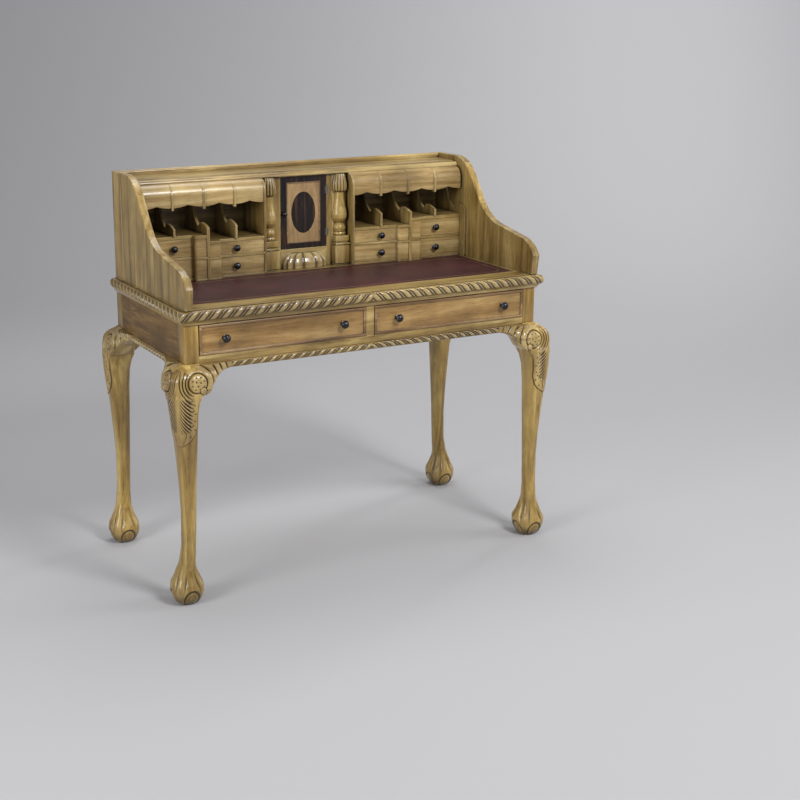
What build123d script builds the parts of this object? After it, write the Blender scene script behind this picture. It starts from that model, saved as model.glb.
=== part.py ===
"""Writing desk with a fitted superstructure, on four cabriole legs with ball feet.

Millimetres. The origin is on the floor under the middle of the desk: +X is to the
sitter's right, +Y runs to the back and +Z is up.
"""

from build123d import *
import os

os.makedirs("parts", exist_ok=True)

# ---------------------------------------------------------------- driving sizes
HALF_WIDTH = 530  # outer face of the side aprons and side panels
HALF_DEPTH = 253  # outer face of the front rails and of the back apron
APRON_BOTTOM = 639
APRON_TOP = 753
SURFACE = 780  # the writing surface
TOP = 1074  # top of the side panels and of the gallery

POST_WIDTH = 39
POST_DEPTH = 42
APRON_THICK = 20
RAIL_HEIGHT = 20
DIVIDER_HALF = 12

TOP_BOARD_UNDER = 1045  # underside of the superstructure's top board
TOP_BOARD_THICK = 14
TOP_BOARD_FRONT = 130
BACK_THICK = 13
PANEL_THICK = 21
FIT = 0.6  # clearance round a drawer or the door

FOOT_RADIUS = 45.5
FOOT_HEIGHT = 43  # centre of the ball, so that it stands on a small flat
FOOT_OUT_X = 28.5  # from the middle of the post to the middle of the foot
FOOT_OUT_Y = 14

SMALL_KNOB_RADIUS = 9.5
LARGE_KNOB_RADIUS = 11

# ------------------------------------------------------------- worked-out places
POST_X = HALF_WIDTH - POST_WIDTH / 2
POST_Y = HALF_DEPTH - POST_DEPTH / 2
POST_INNER_X = HALF_WIDTH - POST_WIDTH
POST_INNER_Y = HALF_DEPTH - POST_DEPTH
PANEL_INNER = HALF_WIDTH - PANEL_THICK
BACK_INNER = HALF_DEPTH - BACK_THICK
RAIL_BACK = APRON_THICK - HALF_DEPTH  # y of the back of the front rails
LOW_RAIL_TOP = APRON_BOTTOM + RAIL_HEIGHT
HIGH_RAIL_BOTTOM = APRON_TOP - 14


# ------------------------------------------------------------------ small helpers
def plank(x, y, z):
    """A straight board that fills the ranges x, y and z."""
    with BuildPart() as board:
        with BuildSketch(Plane.XY.offset(z[0])):
            with Locations(((x[0] + x[1]) / 2, (y[0] + y[1]) / 2)):
                Rectangle(abs(x[1] - x[0]), y[1] - y[0])
        extrude(amount=z[1] - z[0])
    return board.part


def upright(outline, x, thick):
    """A board standing in the Y-Z plane at x, cut to a closed outline of edges."""
    with BuildPart() as board:
        with BuildSketch(Plane.YZ.offset(x)):
            with BuildLine():
                add(outline)
            make_face()
        extrude(amount=thick)
    return board.part


def on_side(side, near, far):
    """The x range from near to far, measured outward from the middle, on one side."""
    return sorted((side * near, side * far))


def write(name, *pieces):
    """Write one node: a single piece, or a group of separate pieces."""
    node = pieces[0] if len(pieces) == 1 else Compound(children=list(pieces))
    node.label = name
    export_step(node, f"parts/{name}.step")


# ------------------------------------------------------------------------- legs
# Height, outward offsets of the section's middle from the post's, width across,
# and how round the corners are (1 is a circle).
LEG_SECTIONS = (
    (APRON_BOTTOM, 0, 0, POST_WIDTH - 1, 0.15),
    (618, 11, 11, 58, 0.25),
    (590, 20, 20, 74, 0.35),
    (560, 23.5, 23.5, 75, 0.40),
    (517, 26, 26, 65, 0.45),
    (469, 25, 25, 59, 0.55),
    (407, 23, 23, 53, 0.65),
    (319, 21, 21, 44, 0.80),
    (250, 20.5, 20.5, 39.5, 0.92),
    (158, 23, 20, 38.6, 0.98),
    (122, 26, 17, 44, 0.98),
    (96, FOOT_OUT_X, FOOT_OUT_Y, 58, 0.98),
    (70, FOOT_OUT_X, FOOT_OUT_Y, 70, 0.98),
)


def cabriole_leg(name, side, end):
    """Corner post, cabriole and ball foot, worked from one piece of wood."""
    with BuildPart() as leg:
        with BuildSketch(Plane.XY.offset(APRON_BOTTOM)):
            with Locations((side * POST_X, end * POST_Y)):
                Rectangle(POST_WIDTH, POST_DEPTH)
        extrude(amount=APRON_TOP - APRON_BOTTOM)
        for height, out_x, out_y, width, roundness in LEG_SECTIONS:
            with BuildSketch(Plane.XY.offset(height)):
                with Locations((side * (POST_X + out_x), end * (POST_Y + out_y))):
                    RectangleRounded(width, width, roundness * width / 2)
        loft()
        foot = (side * (POST_X + FOOT_OUT_X), end * (POST_Y + FOOT_OUT_Y), FOOT_HEIGHT)
        with Locations(foot):
            Sphere(FOOT_RADIUS)
        split(bisect_by=Plane.XY, keep=Keep.TOP)
    leg.part.label = name
    export_step(leg.part, f"parts/{name}.step")


for side, hand in ((-1, "left"), (1, "right")):
    cabriole_leg(f"leg_front_{hand}", side, -1)
    cabriole_leg(f"leg_back_{hand}", side, 1)

# ---------------------------------------------------------------- knee brackets
BRACKET_REACH = 84
LOW_STRIP_BOTTOM = 622  # the ears run into the carved strip under the aprons
BRACKET_THICK = 24
BRACKET_PROUD = 9  # how far the carved face stands in front of the apron
BRACKET_GAP = 2  # the knee swells up to the post's inner corner


def bracket_face(start):
    """Outline of an ear: u runs from the post along the apron, v is height."""
    with BuildLine(mode=Mode.PRIVATE) as ear:
        top = Line((start, APRON_BOTTOM), (BRACKET_REACH, APRON_BOTTOM))
        tip = Line(top @ 1, (BRACKET_REACH, LOW_STRIP_BOTTOM))
        hollow = ThreePointArc(tip @ 1, (55, 617), (36, 603))
        scroll = ThreePointArc(hollow @ 1, (22, 580), (start, 565))
        Line(scroll @ 1, top @ 0)
    return ear.line


def knee_bracket(side, end, along_front):
    """The carved ear that fills the angle between one knee and one apron."""
    back = BRACKET_THICK - BRACKET_PROUD
    with BuildPart() as ear:
        if along_front:
            origin = (side * POST_INNER_X, end * (HALF_DEPTH - back), 0)
            face = Plane(origin, x_dir=(-side, 0, 0), z_dir=(0, side, 0))
            outward = side * end
        else:
            origin = (side * (HALF_WIDTH - back), end * POST_INNER_Y, 0)
            face = Plane(origin, x_dir=(0, -end, 0), z_dir=(-end, 0, 0))
            outward = -end * side
        with BuildSketch(face):
            with BuildLine():
                add(bracket_face(BRACKET_GAP))
            make_face()
        extrude(amount=outward * BRACKET_THICK)
    return ear.part


brackets = []
for side in (-1, 1):
    for end in (-1, 1):
        brackets.append(knee_bracket(side, end, True))
        brackets.append(knee_bracket(side, end, False))
write("knee_brackets", *brackets)

# ------------------------------------------------------- aprons, rails, runners
apron_z = (APRON_BOTTOM, APRON_TOP)
inner_y = (-POST_INNER_Y, POST_INNER_Y)
side_aprons = [
    plank(on_side(side, HALF_WIDTH - APRON_THICK, HALF_WIDTH), inner_y, apron_z)
    for side in (-1, 1)
]
back_apron = plank(
    (-POST_INNER_X, POST_INNER_X), (HALF_DEPTH - APRON_THICK, HALF_DEPTH), apron_z
)
write("aprons", *side_aprons, back_apron)

rail_x = (-POST_INNER_X, POST_INNER_X)
rail_y = (-HALF_DEPTH, RAIL_BACK)
write(
    "front_rails",
    plank(rail_x, rail_y, (APRON_BOTTOM, LOW_RAIL_TOP)),
    plank(rail_x, rail_y, (HIGH_RAIL_BOTTOM, APRON_TOP)),
    plank((-DIVIDER_HALF, DIVIDER_HALF), rail_y, (LOW_RAIL_TOP, HIGH_RAIL_BOTTOM)),
)

RUNNER_WIDTH = 12
RUNNER_BOTTOM = LOW_RAIL_TOP - 18
GUIDE_TOP = 700
runner_y = (RAIL_BACK, HALF_DEPTH - APRON_THICK)
runners = []
for low, high in ((RUNNER_BOTTOM, LOW_RAIL_TOP), (HIGH_RAIL_BOTTOM, APRON_TOP)):
    runners.append(plank((-2 * DIVIDER_HALF, 2 * DIVIDER_HALF), runner_y, (low, high)))
    for side in (-1, 1):
        runner_x = on_side(side, POST_INNER_X - RUNNER_WIDTH, POST_INNER_X - 0.5)
        runners.append(plank(runner_x, runner_y, (low, high)))
for side in (-1, 1):
    guide_x = on_side(side, POST_INNER_X, HALF_WIDTH - APRON_THICK)
    runners.append(plank(guide_x, inner_y, (RUNNER_BOTTOM, GUIDE_TOP)))
CENTRE_GUIDE = (-7, 7)
runners.append(plank(CENTRE_GUIDE, runner_y, (LOW_RAIL_TOP, HIGH_RAIL_BOTTOM)))
write("drawer_runners", *runners)

# -------------------------------------------------------------- gadroon strips
TOP_EDGE = 2  # the board stands this far outside the aprons, inside its moulding
TOP_UNDER = SURFACE - 23
LEATHER_THICK = 2
LEATHER_HALF = 496
LEATHER_FRONT = -198
LEATHER_BACK = 100  # it runs up to the fitted unit and round its forward blocks

OVERHANG = 18
ROLL_BOTTOM = 752
ROLL_TOP = 777
COVE_BOTTOM = 740
LOW_STRIP_PROUD = 9
LOW_STRIP_BACK = 9


def top_moulding_section(outward):
    """Rounded strip for gadroons with a small cove under it; u runs outward."""
    with BuildLine(mode=Mode.PRIVATE) as section:
        Line((0, COVE_BOTTOM), (0, TOP_UNDER))
        Line((0, TOP_UNDER), (outward * TOP_EDGE, TOP_UNDER))
        Line((outward * TOP_EDGE, TOP_UNDER), (outward * TOP_EDGE, ROLL_TOP))
        crown = (outward * (OVERHANG - 7), ROLL_TOP)
        Line((outward * TOP_EDGE, ROLL_TOP), crown)
        belly = (outward * OVERHANG, (ROLL_BOTTOM + ROLL_TOP) / 2)
        root = (outward * (OVERHANG - 7), ROLL_BOTTOM)
        ThreePointArc(crown, belly, root)
        ThreePointArc(root, (outward * 4, ROLL_BOTTOM - 4), (outward * 2, COVE_BOTTOM))
        Line((outward * 2, COVE_BOTTOM), (0, COVE_BOTTOM))
    return section.line


def low_moulding_section(outward):
    """Half-round strip planted under the apron; u runs outward."""
    middle = (LOW_STRIP_BOTTOM + APRON_BOTTOM) / 2
    with BuildLine(mode=Mode.PRIVATE) as section:
        back_low = (-outward * LOW_STRIP_BACK, LOW_STRIP_BOTTOM)
        back_high = (-outward * LOW_STRIP_BACK, APRON_BOTTOM)
        face_high = (outward * (LOW_STRIP_PROUD - 5), APRON_BOTTOM)
        face_low = (outward * (LOW_STRIP_PROUD - 5), LOW_STRIP_BOTTOM)
        Polyline(face_low, back_low, back_high, face_high)
        ThreePointArc(face_high, (outward * LOW_STRIP_PROUD, middle), face_low)
    return section.line


def strip(plane, section, length):
    """A moulding of one section, run along the plane's normal."""
    with BuildPart() as run:
        with BuildSketch(plane):
            with BuildLine():
                add(section)
            make_face()
        extrude(amount=length)
    return run.part


front_from = -HALF_WIDTH - OVERHANG
front_plane = Plane((front_from, -HALF_DEPTH, 0), x_dir=(0, 1, 0), z_dir=(1, 0, 0))
front_strip = strip(front_plane, top_moulding_section(-1), 2 * (HALF_WIDTH + OVERHANG))
low_from = BRACKET_REACH - POST_INNER_X
low_plane = Plane((low_from, -HALF_DEPTH, 0), x_dir=(0, 1, 0), z_dir=(1, 0, 0))
low_strip = strip(low_plane, low_moulding_section(-1), -2 * low_from)
mouldings = [front_strip, low_strip]
for side in (-1, 1):
    start = (side * HALF_WIDTH, HALF_DEPTH, 0)
    side_plane = Plane(start, x_dir=(1, 0, 0), z_dir=(0, -1, 0))
    side_run = 2 * HALF_DEPTH
    mouldings.append(strip(side_plane, top_moulding_section(side), side_run))
    low_half = POST_INNER_Y - BRACKET_REACH
    low_start = (side * HALF_WIDTH, low_half, 0)
    low_side_plane = Plane(low_start, x_dir=(1, 0, 0), z_dir=(0, -1, 0))
    mouldings.append(strip(low_side_plane, low_moulding_section(side), 2 * low_half))
write("gadroon_mouldings", *mouldings)

# ----------------------------------------------------- side panels, back, top board
with BuildLine(Plane.XY, mode=Mode.PRIVATE) as panel_outline:
    rear = Line((HALF_DEPTH, SURFACE), (HALF_DEPTH, TOP))
    crest = Line(rear @ 1, (150, TOP))
    shoulder = TangentArc(crest @ 1, (62, 1030), tangent=crest % 1)
    fall = Line(shoulder @ 1, (10, 960))
    hollow = TangentArc(fall @ 1, (-80, 900), tangent=fall % 1)
    wing = Line(hollow @ 1, (-212, 877))
    nose = TangentArc(wing @ 1, (-272, 834), tangent=wing % 1)
    front = Line(nose @ 1, (-264, SURFACE))
    Line(front @ 1, rear @ 0)

PANEL_ROUND = 3


def side_panel(name, side):
    """The scrolled end of the superstructure, standing on the writing surface."""
    with BuildPart() as panel:
        with BuildSketch(Plane.YZ.offset(min(side * PANEL_INNER, side * HALF_WIDTH))):
            with BuildLine():
                add(panel_outline.line)
            make_face()
        extrude(amount=PANEL_THICK)
        outline_edges = panel.edges().filter_by(Axis.X, reverse=True)
        above = outline_edges.filter_by(lambda edge: edge.center().Z > SURFACE + 1)
        rim = above.filter_by(lambda edge: edge.center().Y < HALF_DEPTH - 1)
        fillet(rim, PANEL_ROUND)
    panel.part.label = name
    export_step(panel.part, f"parts/{name}.step")


side_panel("side_panel_left", -1)
side_panel("side_panel_right", 1)

with BuildPart() as back_panel:
    with BuildSketch(Plane.YZ.offset(-PANEL_INNER)):
        with BuildLine():
            Polyline((BACK_INNER, TOP - 5), (BACK_INNER, SURFACE), (HALF_DEPTH, SURFACE))
            Line((HALF_DEPTH, SURFACE), (HALF_DEPTH, TOP - 5))
            rounded = ((BACK_INNER + HALF_DEPTH) / 2, TOP)
            ThreePointArc((HALF_DEPTH, TOP - 5), rounded, (BACK_INNER, TOP - 5))
        make_face()
    extrude(amount=2 * PANEL_INNER)
back_panel.part.label = "back_panel"
export_step(back_panel.part, "parts/back_panel.step")

TOP_BOARD_TOP = TOP_BOARD_UNDER + TOP_BOARD_THICK
STEP_DOWN = 3
with BuildPart() as top_board:
    with BuildSketch(Plane.YZ.offset(-PANEL_INNER)):
        with BuildLine():
            step = TOP_BOARD_FRONT + 20
            ledge = TOP_BOARD_FRONT + 12
            Polyline(
                (TOP_BOARD_FRONT, TOP_BOARD_UNDER),
                (BACK_INNER, TOP_BOARD_UNDER),
                (BACK_INNER, TOP_BOARD_TOP),
                (step, TOP_BOARD_TOP),
                (step, TOP_BOARD_TOP - STEP_DOWN),
                (ledge, TOP_BOARD_TOP - STEP_DOWN),
            )
            bull = (TOP_BOARD_FRONT + 2, TOP_BOARD_TOP - 7)
            ThreePointArc(
                (ledge, TOP_BOARD_TOP - STEP_DOWN), bull, (TOP_BOARD_FRONT, TOP_BOARD_UNDER)
            )
        make_face()
    extrude(amount=2 * PANEL_INNER)
top_board.part.label = "top_board"
export_step(top_board.part, "parts/top_board.step")

# ------------------------------------------------- layout of the superstructure
END_BOARD = 503  # inner face of the boards against the side panels
DIVIDER_X = 320  # middle of the board between the outer and inner columns
DIVIDER_THICK = 8
WALL_INNER = 137  # the wall between a bank of drawers and the pilaster's slot
WALL_OUTER = 143
STILE_INNER = 73.5
STILE_OUTER = 88.5
STILE_THICK = 14
DOOR_FACE = 142
BLOCK_FRONT = 82  # the forward part of the shelves, beside each divider
FIELD_FRONT = 101  # the part that is set back
DIVIDER_FRONT = BLOCK_FRONT - 1
DRAWER_SET_BACK = 2
BLOCK_WIDTH = 28
OGEE_WIDTH = 15
BASE_TOP = 785
CUPBOARD_FLOOR = 835
BANKS = {
    "outer": {
        "x": (DIVIDER_X + DIVIDER_THICK / 2, END_BOARD),
        "block_from": DIVIDER_X + DIVIDER_THICK / 2,
        "shelves": ((SURFACE, BASE_TOP), (839, 846), (896, 905)),
        "drawers": {"lower": (BASE_TOP, 839), "upper": (846, 896)},
        "knob_x": 415,
    },
    "inner": {
        "x": (WALL_OUTER, DIVIDER_X - DIVIDER_THICK / 2),
        "block_from": DIVIDER_X - DIVIDER_THICK / 2,
        "shelves": ((SURFACE, BASE_TOP), (836, 842), (879, 887)),
        "drawers": {"lower": (BASE_TOP, 836), "upper": (842, 879)},
        "knob_x": 230,
    },
}
PARTITION_THICK = 6
PARTITIONS = {"outer": 413, "inner": 230}

# ---------------------------------------------------------------------- uprights
PARTITION_SHOULDER = 924
PARTITION_PEAK = 935
PARTITION_DIP = 921


def scrolled_outline(front_y, bottom):
    """A partition's edge: low in front, a peak, a dip and a lobe up to the top."""
    with BuildLine(mode=Mode.PRIVATE) as outline:
        foot = Line((BACK_INNER, bottom), (front_y, bottom))
        rise = Line(foot @ 1, (front_y, PARTITION_SHOULDER))
        ramp = ThreePointArc(
            rise @ 1, (front_y + 18, PARTITION_PEAK - 4), (front_y + 38, PARTITION_PEAK)
        )
        dip = ThreePointArc(
            ramp @ 1, (front_y + 54, PARTITION_PEAK - 4), (front_y + 62, PARTITION_DIP)
        )
        lobe = ThreePointArc(dip @ 1, (front_y + 88, 940), (front_y + 106, 976))
        back = ThreePointArc(
            lobe @ 1, (front_y + 112, 1008), (front_y + 114, TOP_BOARD_UNDER)
        )
        Line(back @ 1, (BACK_INNER, TOP_BOARD_UNDER))
        Line((BACK_INNER, TOP_BOARD_UNDER), foot @ 0)
    return outline.line


END_BOARD_FRONT = 76
WALL_FRONT = 100
WALL_ROUND = 34  # the wall's upper corner follows the valance beside it
with BuildLine(mode=Mode.PRIVATE) as wall_outline:
    wall_foot = Line((BACK_INNER, SURFACE), (WALL_FRONT, SURFACE))
    wall_rise = Line(wall_foot @ 1, (WALL_FRONT, TOP_BOARD_UNDER - WALL_ROUND))
    corner_end = (WALL_FRONT + WALL_ROUND, TOP_BOARD_UNDER)
    wall_corner = TangentArc(wall_rise @ 1, corner_end, tangent=wall_rise % 1)
    Line(wall_corner @ 1, (BACK_INNER, TOP_BOARD_UNDER))
    Line((BACK_INNER, TOP_BOARD_UNDER), wall_foot @ 0)
full_height = (SURFACE, TOP_BOARD_UNDER)
uprights = []
for side in (-1, 1):
    end_x = min(on_side(side, END_BOARD, PANEL_INNER))
    end_outline = scrolled_outline(END_BOARD_FRONT, SURFACE)
    uprights.append(upright(end_outline, end_x, PANEL_INNER - END_BOARD))
    divider_x = side * DIVIDER_X - DIVIDER_THICK / 2
    divider_outline = scrolled_outline(DIVIDER_FRONT, SURFACE)
    uprights.append(upright(divider_outline, divider_x, DIVIDER_THICK))
    wall_x = min(on_side(side, WALL_INNER, WALL_OUTER))
    uprights.append(upright(wall_outline.line, wall_x, WALL_OUTER - WALL_INNER))
    stile_x = on_side(side, STILE_INNER, STILE_OUTER)
    stile_y = (DOOR_FACE, DOOR_FACE + STILE_THICK)
    uprights.append(plank(stile_x, stile_y, full_height))
    cupboard_x = on_side(side, STILE_OUTER - PARTITION_THICK, STILE_OUTER)
    cupboard_y = (DOOR_FACE + STILE_THICK, BACK_INNER)
    uprights.append(plank(cupboard_x, cupboard_y, full_height))
write("unit_uprights", *uprights)

partitions = []
for column, bank in BANKS.items():
    shelf_top = bank["shelves"][-1][1]
    for side in (-1, 1):
        slab_x = side * PARTITIONS[column] - PARTITION_THICK / 2
        slab_outline = scrolled_outline(BLOCK_FRONT + 14, shelf_top)
        partitions.append(upright(slab_outline, slab_x, PARTITION_THICK))
write("pigeonhole_partitions", *partitions)


# ----------------------------------------------------- shelves and drawer fronts
def blocked_plan(column, side, block_y, field_y, back_y, margin):
    """Plan of a shelf or front: forward beside the divider, an ogee, then set back."""
    bank = BANKS[column]
    near, far = bank["x"]
    block = bank["block_from"]
    inward = 1 if column == "outer" else -1
    start = block + inward * margin
    finish = (far if column == "outer" else near) - inward * margin
    ogee_from = block + inward * BLOCK_WIDTH
    ogee_to = ogee_from + inward * OGEE_WIDTH
    middle = (side * (ogee_from + ogee_to) / 2, (block_y + field_y) / 2)
    with BuildLine(mode=Mode.PRIVATE) as plan:
        lead = Line((side * start, back_y), (side * start, block_y))
        flat = Line(lead @ 1, (side * ogee_from, block_y))
        swell = TangentArc(flat @ 1, middle, tangent=flat % 1)
        sink = TangentArc(middle, (side * ogee_to, field_y), tangent=swell % 1)
        field = Line(sink @ 1, (side * finish, field_y))
        tail = Line(field @ 1, (side * finish, back_y))
        Line(tail @ 1, lead @ 0)
    return plan.line


def blocked_slab(column, side, fronts, back_y, z, margin):
    """A shelf or a solid drawer front with the blocked plan, between two heights."""
    with BuildPart() as slab:
        with BuildSketch(Plane.XY.offset(z[0])):
            with BuildLine():
                add(blocked_plan(column, side, *fronts, back_y, margin))
            make_face()
        extrude(amount=z[1] - z[0])
    return slab.part


shelf_fronts = (BLOCK_FRONT, FIELD_FRONT)
shelves = []
for column, bank in BANKS.items():
    for side in (-1, 1):
        for z in bank["shelves"]:
            shelves.append(blocked_slab(column, side, shelf_fronts, BACK_INNER, z, 0))
SLOT_FLOOR_FRONT = 120
CUPBOARD_RAIL = 12
HEAD_RAIL = 4
for side in (-1, 1):
    slot_x = on_side(side, STILE_OUTER, WALL_INNER)
    shelves.append(plank(slot_x, (SLOT_FLOOR_FRONT, BACK_INNER), (SURFACE, BASE_TOP)))
inner_half = STILE_OUTER - PARTITION_THICK
cupboard_z = (CUPBOARD_FLOOR - CUPBOARD_RAIL, CUPBOARD_FLOOR)
stile_span = (-STILE_INNER, STILE_INNER)
stile_depth = (DOOR_FACE, DOOR_FACE + STILE_THICK)
shelves.append(plank(stile_span, stile_depth, cupboard_z))
floor_depth = (DOOR_FACE + STILE_THICK, BACK_INNER)
shelves.append(plank((-inner_half, inner_half), floor_depth, cupboard_z))
head_z = (TOP_BOARD_UNDER - HEAD_RAIL, TOP_BOARD_UNDER)
shelves.append(plank(stile_span, stile_depth, head_z))
write("unit_shelves", *shelves)

# ------------------------------------------------- desk top and leather panel
with BuildPart() as desk_top:
    with BuildSketch(Plane.XY.offset(TOP_UNDER)):
        with Locations((0, -TOP_EDGE / 2)):
            Rectangle(2 * (HALF_WIDTH + TOP_EDGE), 2 * HALF_DEPTH + TOP_EDGE)
    extrude(amount=SURFACE - TOP_UNDER)
    with BuildSketch(Plane.XY.offset(SURFACE)) as leather_bed:
        with Locations((0, (LEATHER_FRONT + LEATHER_BACK) / 2)):
            Rectangle(2 * LEATHER_HALF, LEATHER_BACK - LEATHER_FRONT)
        for side in (-1, 1):
            for column in BANKS:
                with BuildLine():
                    add(blocked_plan(column, side, *shelf_fronts, BACK_INNER, 0))
                make_face(mode=Mode.SUBTRACT)
            with Locations((side * DIVIDER_X, BACK_INNER - (BACK_INNER - DIVIDER_FRONT) / 2)):
                Rectangle(DIVIDER_THICK, BACK_INNER - DIVIDER_FRONT, mode=Mode.SUBTRACT)
    extrude(amount=-LEATHER_THICK, mode=Mode.SUBTRACT)
desk_top.part.label = "desk_top"
export_step(desk_top.part, "parts/desk_top.step")

with BuildPart() as leather_panel:
    with BuildSketch(Plane.XY.offset(SURFACE - LEATHER_THICK)):
        add(leather_bed.sketch_local)
    extrude(amount=LEATHER_THICK)
leather_panel.part.label = "leather_panel"
export_step(leather_panel.part, "parts/leather_panel.step")

# --------------------------------------------------------------------- valances
VALANCE_FRONT = 103
VALANCE_THICK = 9
VALANCE_RADIUS = 31
VALANCE_BOTTOM = 981.5
RIB_BOTTOM = 975
RIB_PROUD = 3
RIB_THICK = 6
ARCH_RISE = 7
RIBS = (231, 322, 414)


def cushion_section(front, bottom, thick):
    """Side view of the quarter-round valance, hanging under the top board."""
    radius = VALANCE_FRONT + VALANCE_RADIUS - front
    centre_y = VALANCE_FRONT + VALANCE_RADIUS
    centre_z = TOP_BOARD_UNDER - radius
    inner = radius - thick
    slope = 0.7071
    with BuildLine(mode=Mode.PRIVATE) as section:
        top_out = (centre_y, TOP_BOARD_UNDER)
        outer_mid = (centre_y - slope * radius, centre_z + slope * radius)
        inner_mid = (centre_y - slope * inner, centre_z + slope * inner)
        ThreePointArc(top_out, outer_mid, (front, centre_z))
        Line((front, centre_z), (front, bottom))
        Line((front, bottom), (front + thick, bottom))
        Line((front + thick, bottom), (front + thick, centre_z))
        ThreePointArc((front + thick, centre_z), inner_mid, (centre_y, centre_z + inner))
        Line((centre_y, centre_z + inner), top_out)
    return section.line


def valance(near, far):
    """One cushion-fronted length with a pointed arch cut in its lower edge."""
    middle = (near + far) / 2
    with BuildPart() as length:
        with BuildSketch(Plane.YZ.offset(near)):
            with BuildLine():
                add(cushion_section(VALANCE_FRONT, VALANCE_BOTTOM, VALANCE_THICK))
            make_face()
        extrude(amount=far - near)
        with BuildSketch(Plane.XZ.offset(-VALANCE_FRONT - 2 * VALANCE_THICK)):
            with BuildLine():
                tip = (middle, VALANCE_BOTTOM + ARCH_RISE)
                left_lobe = TangentArc((near, VALANCE_BOTTOM), tip, tangent=(1, 0))
                right_lobe = TangentArc((far, VALANCE_BOTTOM), tip, tangent=(-1, 0))
                Line(right_lobe @ 0, left_lobe @ 0)
            make_face()
        extrude(amount=3 * VALANCE_THICK, mode=Mode.SUBTRACT)
    return length.part


lengths = []
for side in (-1, 1):
    stops = [WALL_OUTER]
    for rib in RIBS:
        stops.extend((rib - RIB_THICK / 2, rib + RIB_THICK / 2))
        rib_section = cushion_section(
            VALANCE_FRONT - RIB_PROUD, RIB_BOTTOM, VALANCE_THICK + RIB_PROUD
        )
        lengths.append(upright(rib_section, side * rib - RIB_THICK / 2, RIB_THICK))
    stops.append(END_BOARD)
    for near, far in zip(stops[::2], stops[1::2]):
        lengths.append(valance(*on_side(side, near, far)))
write("valances", *lengths)

# ----------------------------------------------------------------- shell plaque
# Height, half width and projection of the shell, a fluted half dome on the plaque.
SHELL_SECTIONS = (
    (SURFACE, 70, 26),
    (SURFACE + 16, 69, 26),
    (SURFACE + 30, 61, 20),
    (cupboard_z[0] - 1, 46, 9),
)
with BuildPart() as shell_plaque:
    with BuildSketch(Plane.XY.offset(SURFACE)):
        with Locations((0, DOOR_FACE + 4)):
            Rectangle(2 * STILE_INNER, 12)
    extrude(amount=cupboard_z[0] - SURFACE)
    for height, half, proud in SHELL_SECTIONS:
        with BuildSketch(Plane.XY.offset(height)):
            with BuildLine():
                EllipticalCenterArc((0, DOOR_FACE - 2), half, proud - 2, 180, arc_size=180)
                Line((half, DOOR_FACE - 2), (-half, DOOR_FACE - 2))
            make_face()
    loft()
shell_plaque.part.label = "shell_plaque"
export_step(shell_plaque.part, "parts/shell_plaque.step")


# ------------------------------------------------------------------------ knobs
def knob(x, y, z, radius, reach):
    """A turned knob on a short neck, its base against a front at y."""
    with BuildPart() as turned:
        with BuildSketch(Plane((x, y, z), x_dir=(1, 0, 0), z_dir=(0, 0, 1))):
            with BuildLine():
                neck = 0.36 * radius
                flange = 0.62 * radius
                shaft = Polyline(
                    (0, 0), (flange, 0), (flange, -1.5), (neck, -3), (neck, -0.4 * reach)
                )
                brow = (radius, -0.68 * reach)
                Line(shaft @ 1, brow)
                TangentArc((0, -reach), brow, tangent=(1, 0))
                Line((0, -reach), (0, 0))
            make_face()
        revolve(axis=Axis((x, y, z), (0, 1, 0)))
    return turned.part


# --------------------------------------------------------------- apron drawers
DRAWER_NEAR = DIVIDER_HALF + 1.5
DRAWER_FAR = POST_INNER_X - 1.5
DRAWER_LOW = LOW_RAIL_TOP + 1
DRAWER_HIGH = HIGH_RAIL_BOTTOM - 1
BEAD_WIDTH = 7
BEAD_PROUD = 4
DRAWER_FIELD = -HALF_DEPTH + 1
DRAWER_REAR = 215
DRAWER_SIDE = 12
DRAWER_BOTTOM = 6
APRON_KNOB_SPREAD = 169
APRON_KNOB_HEIGHT = 700

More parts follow.
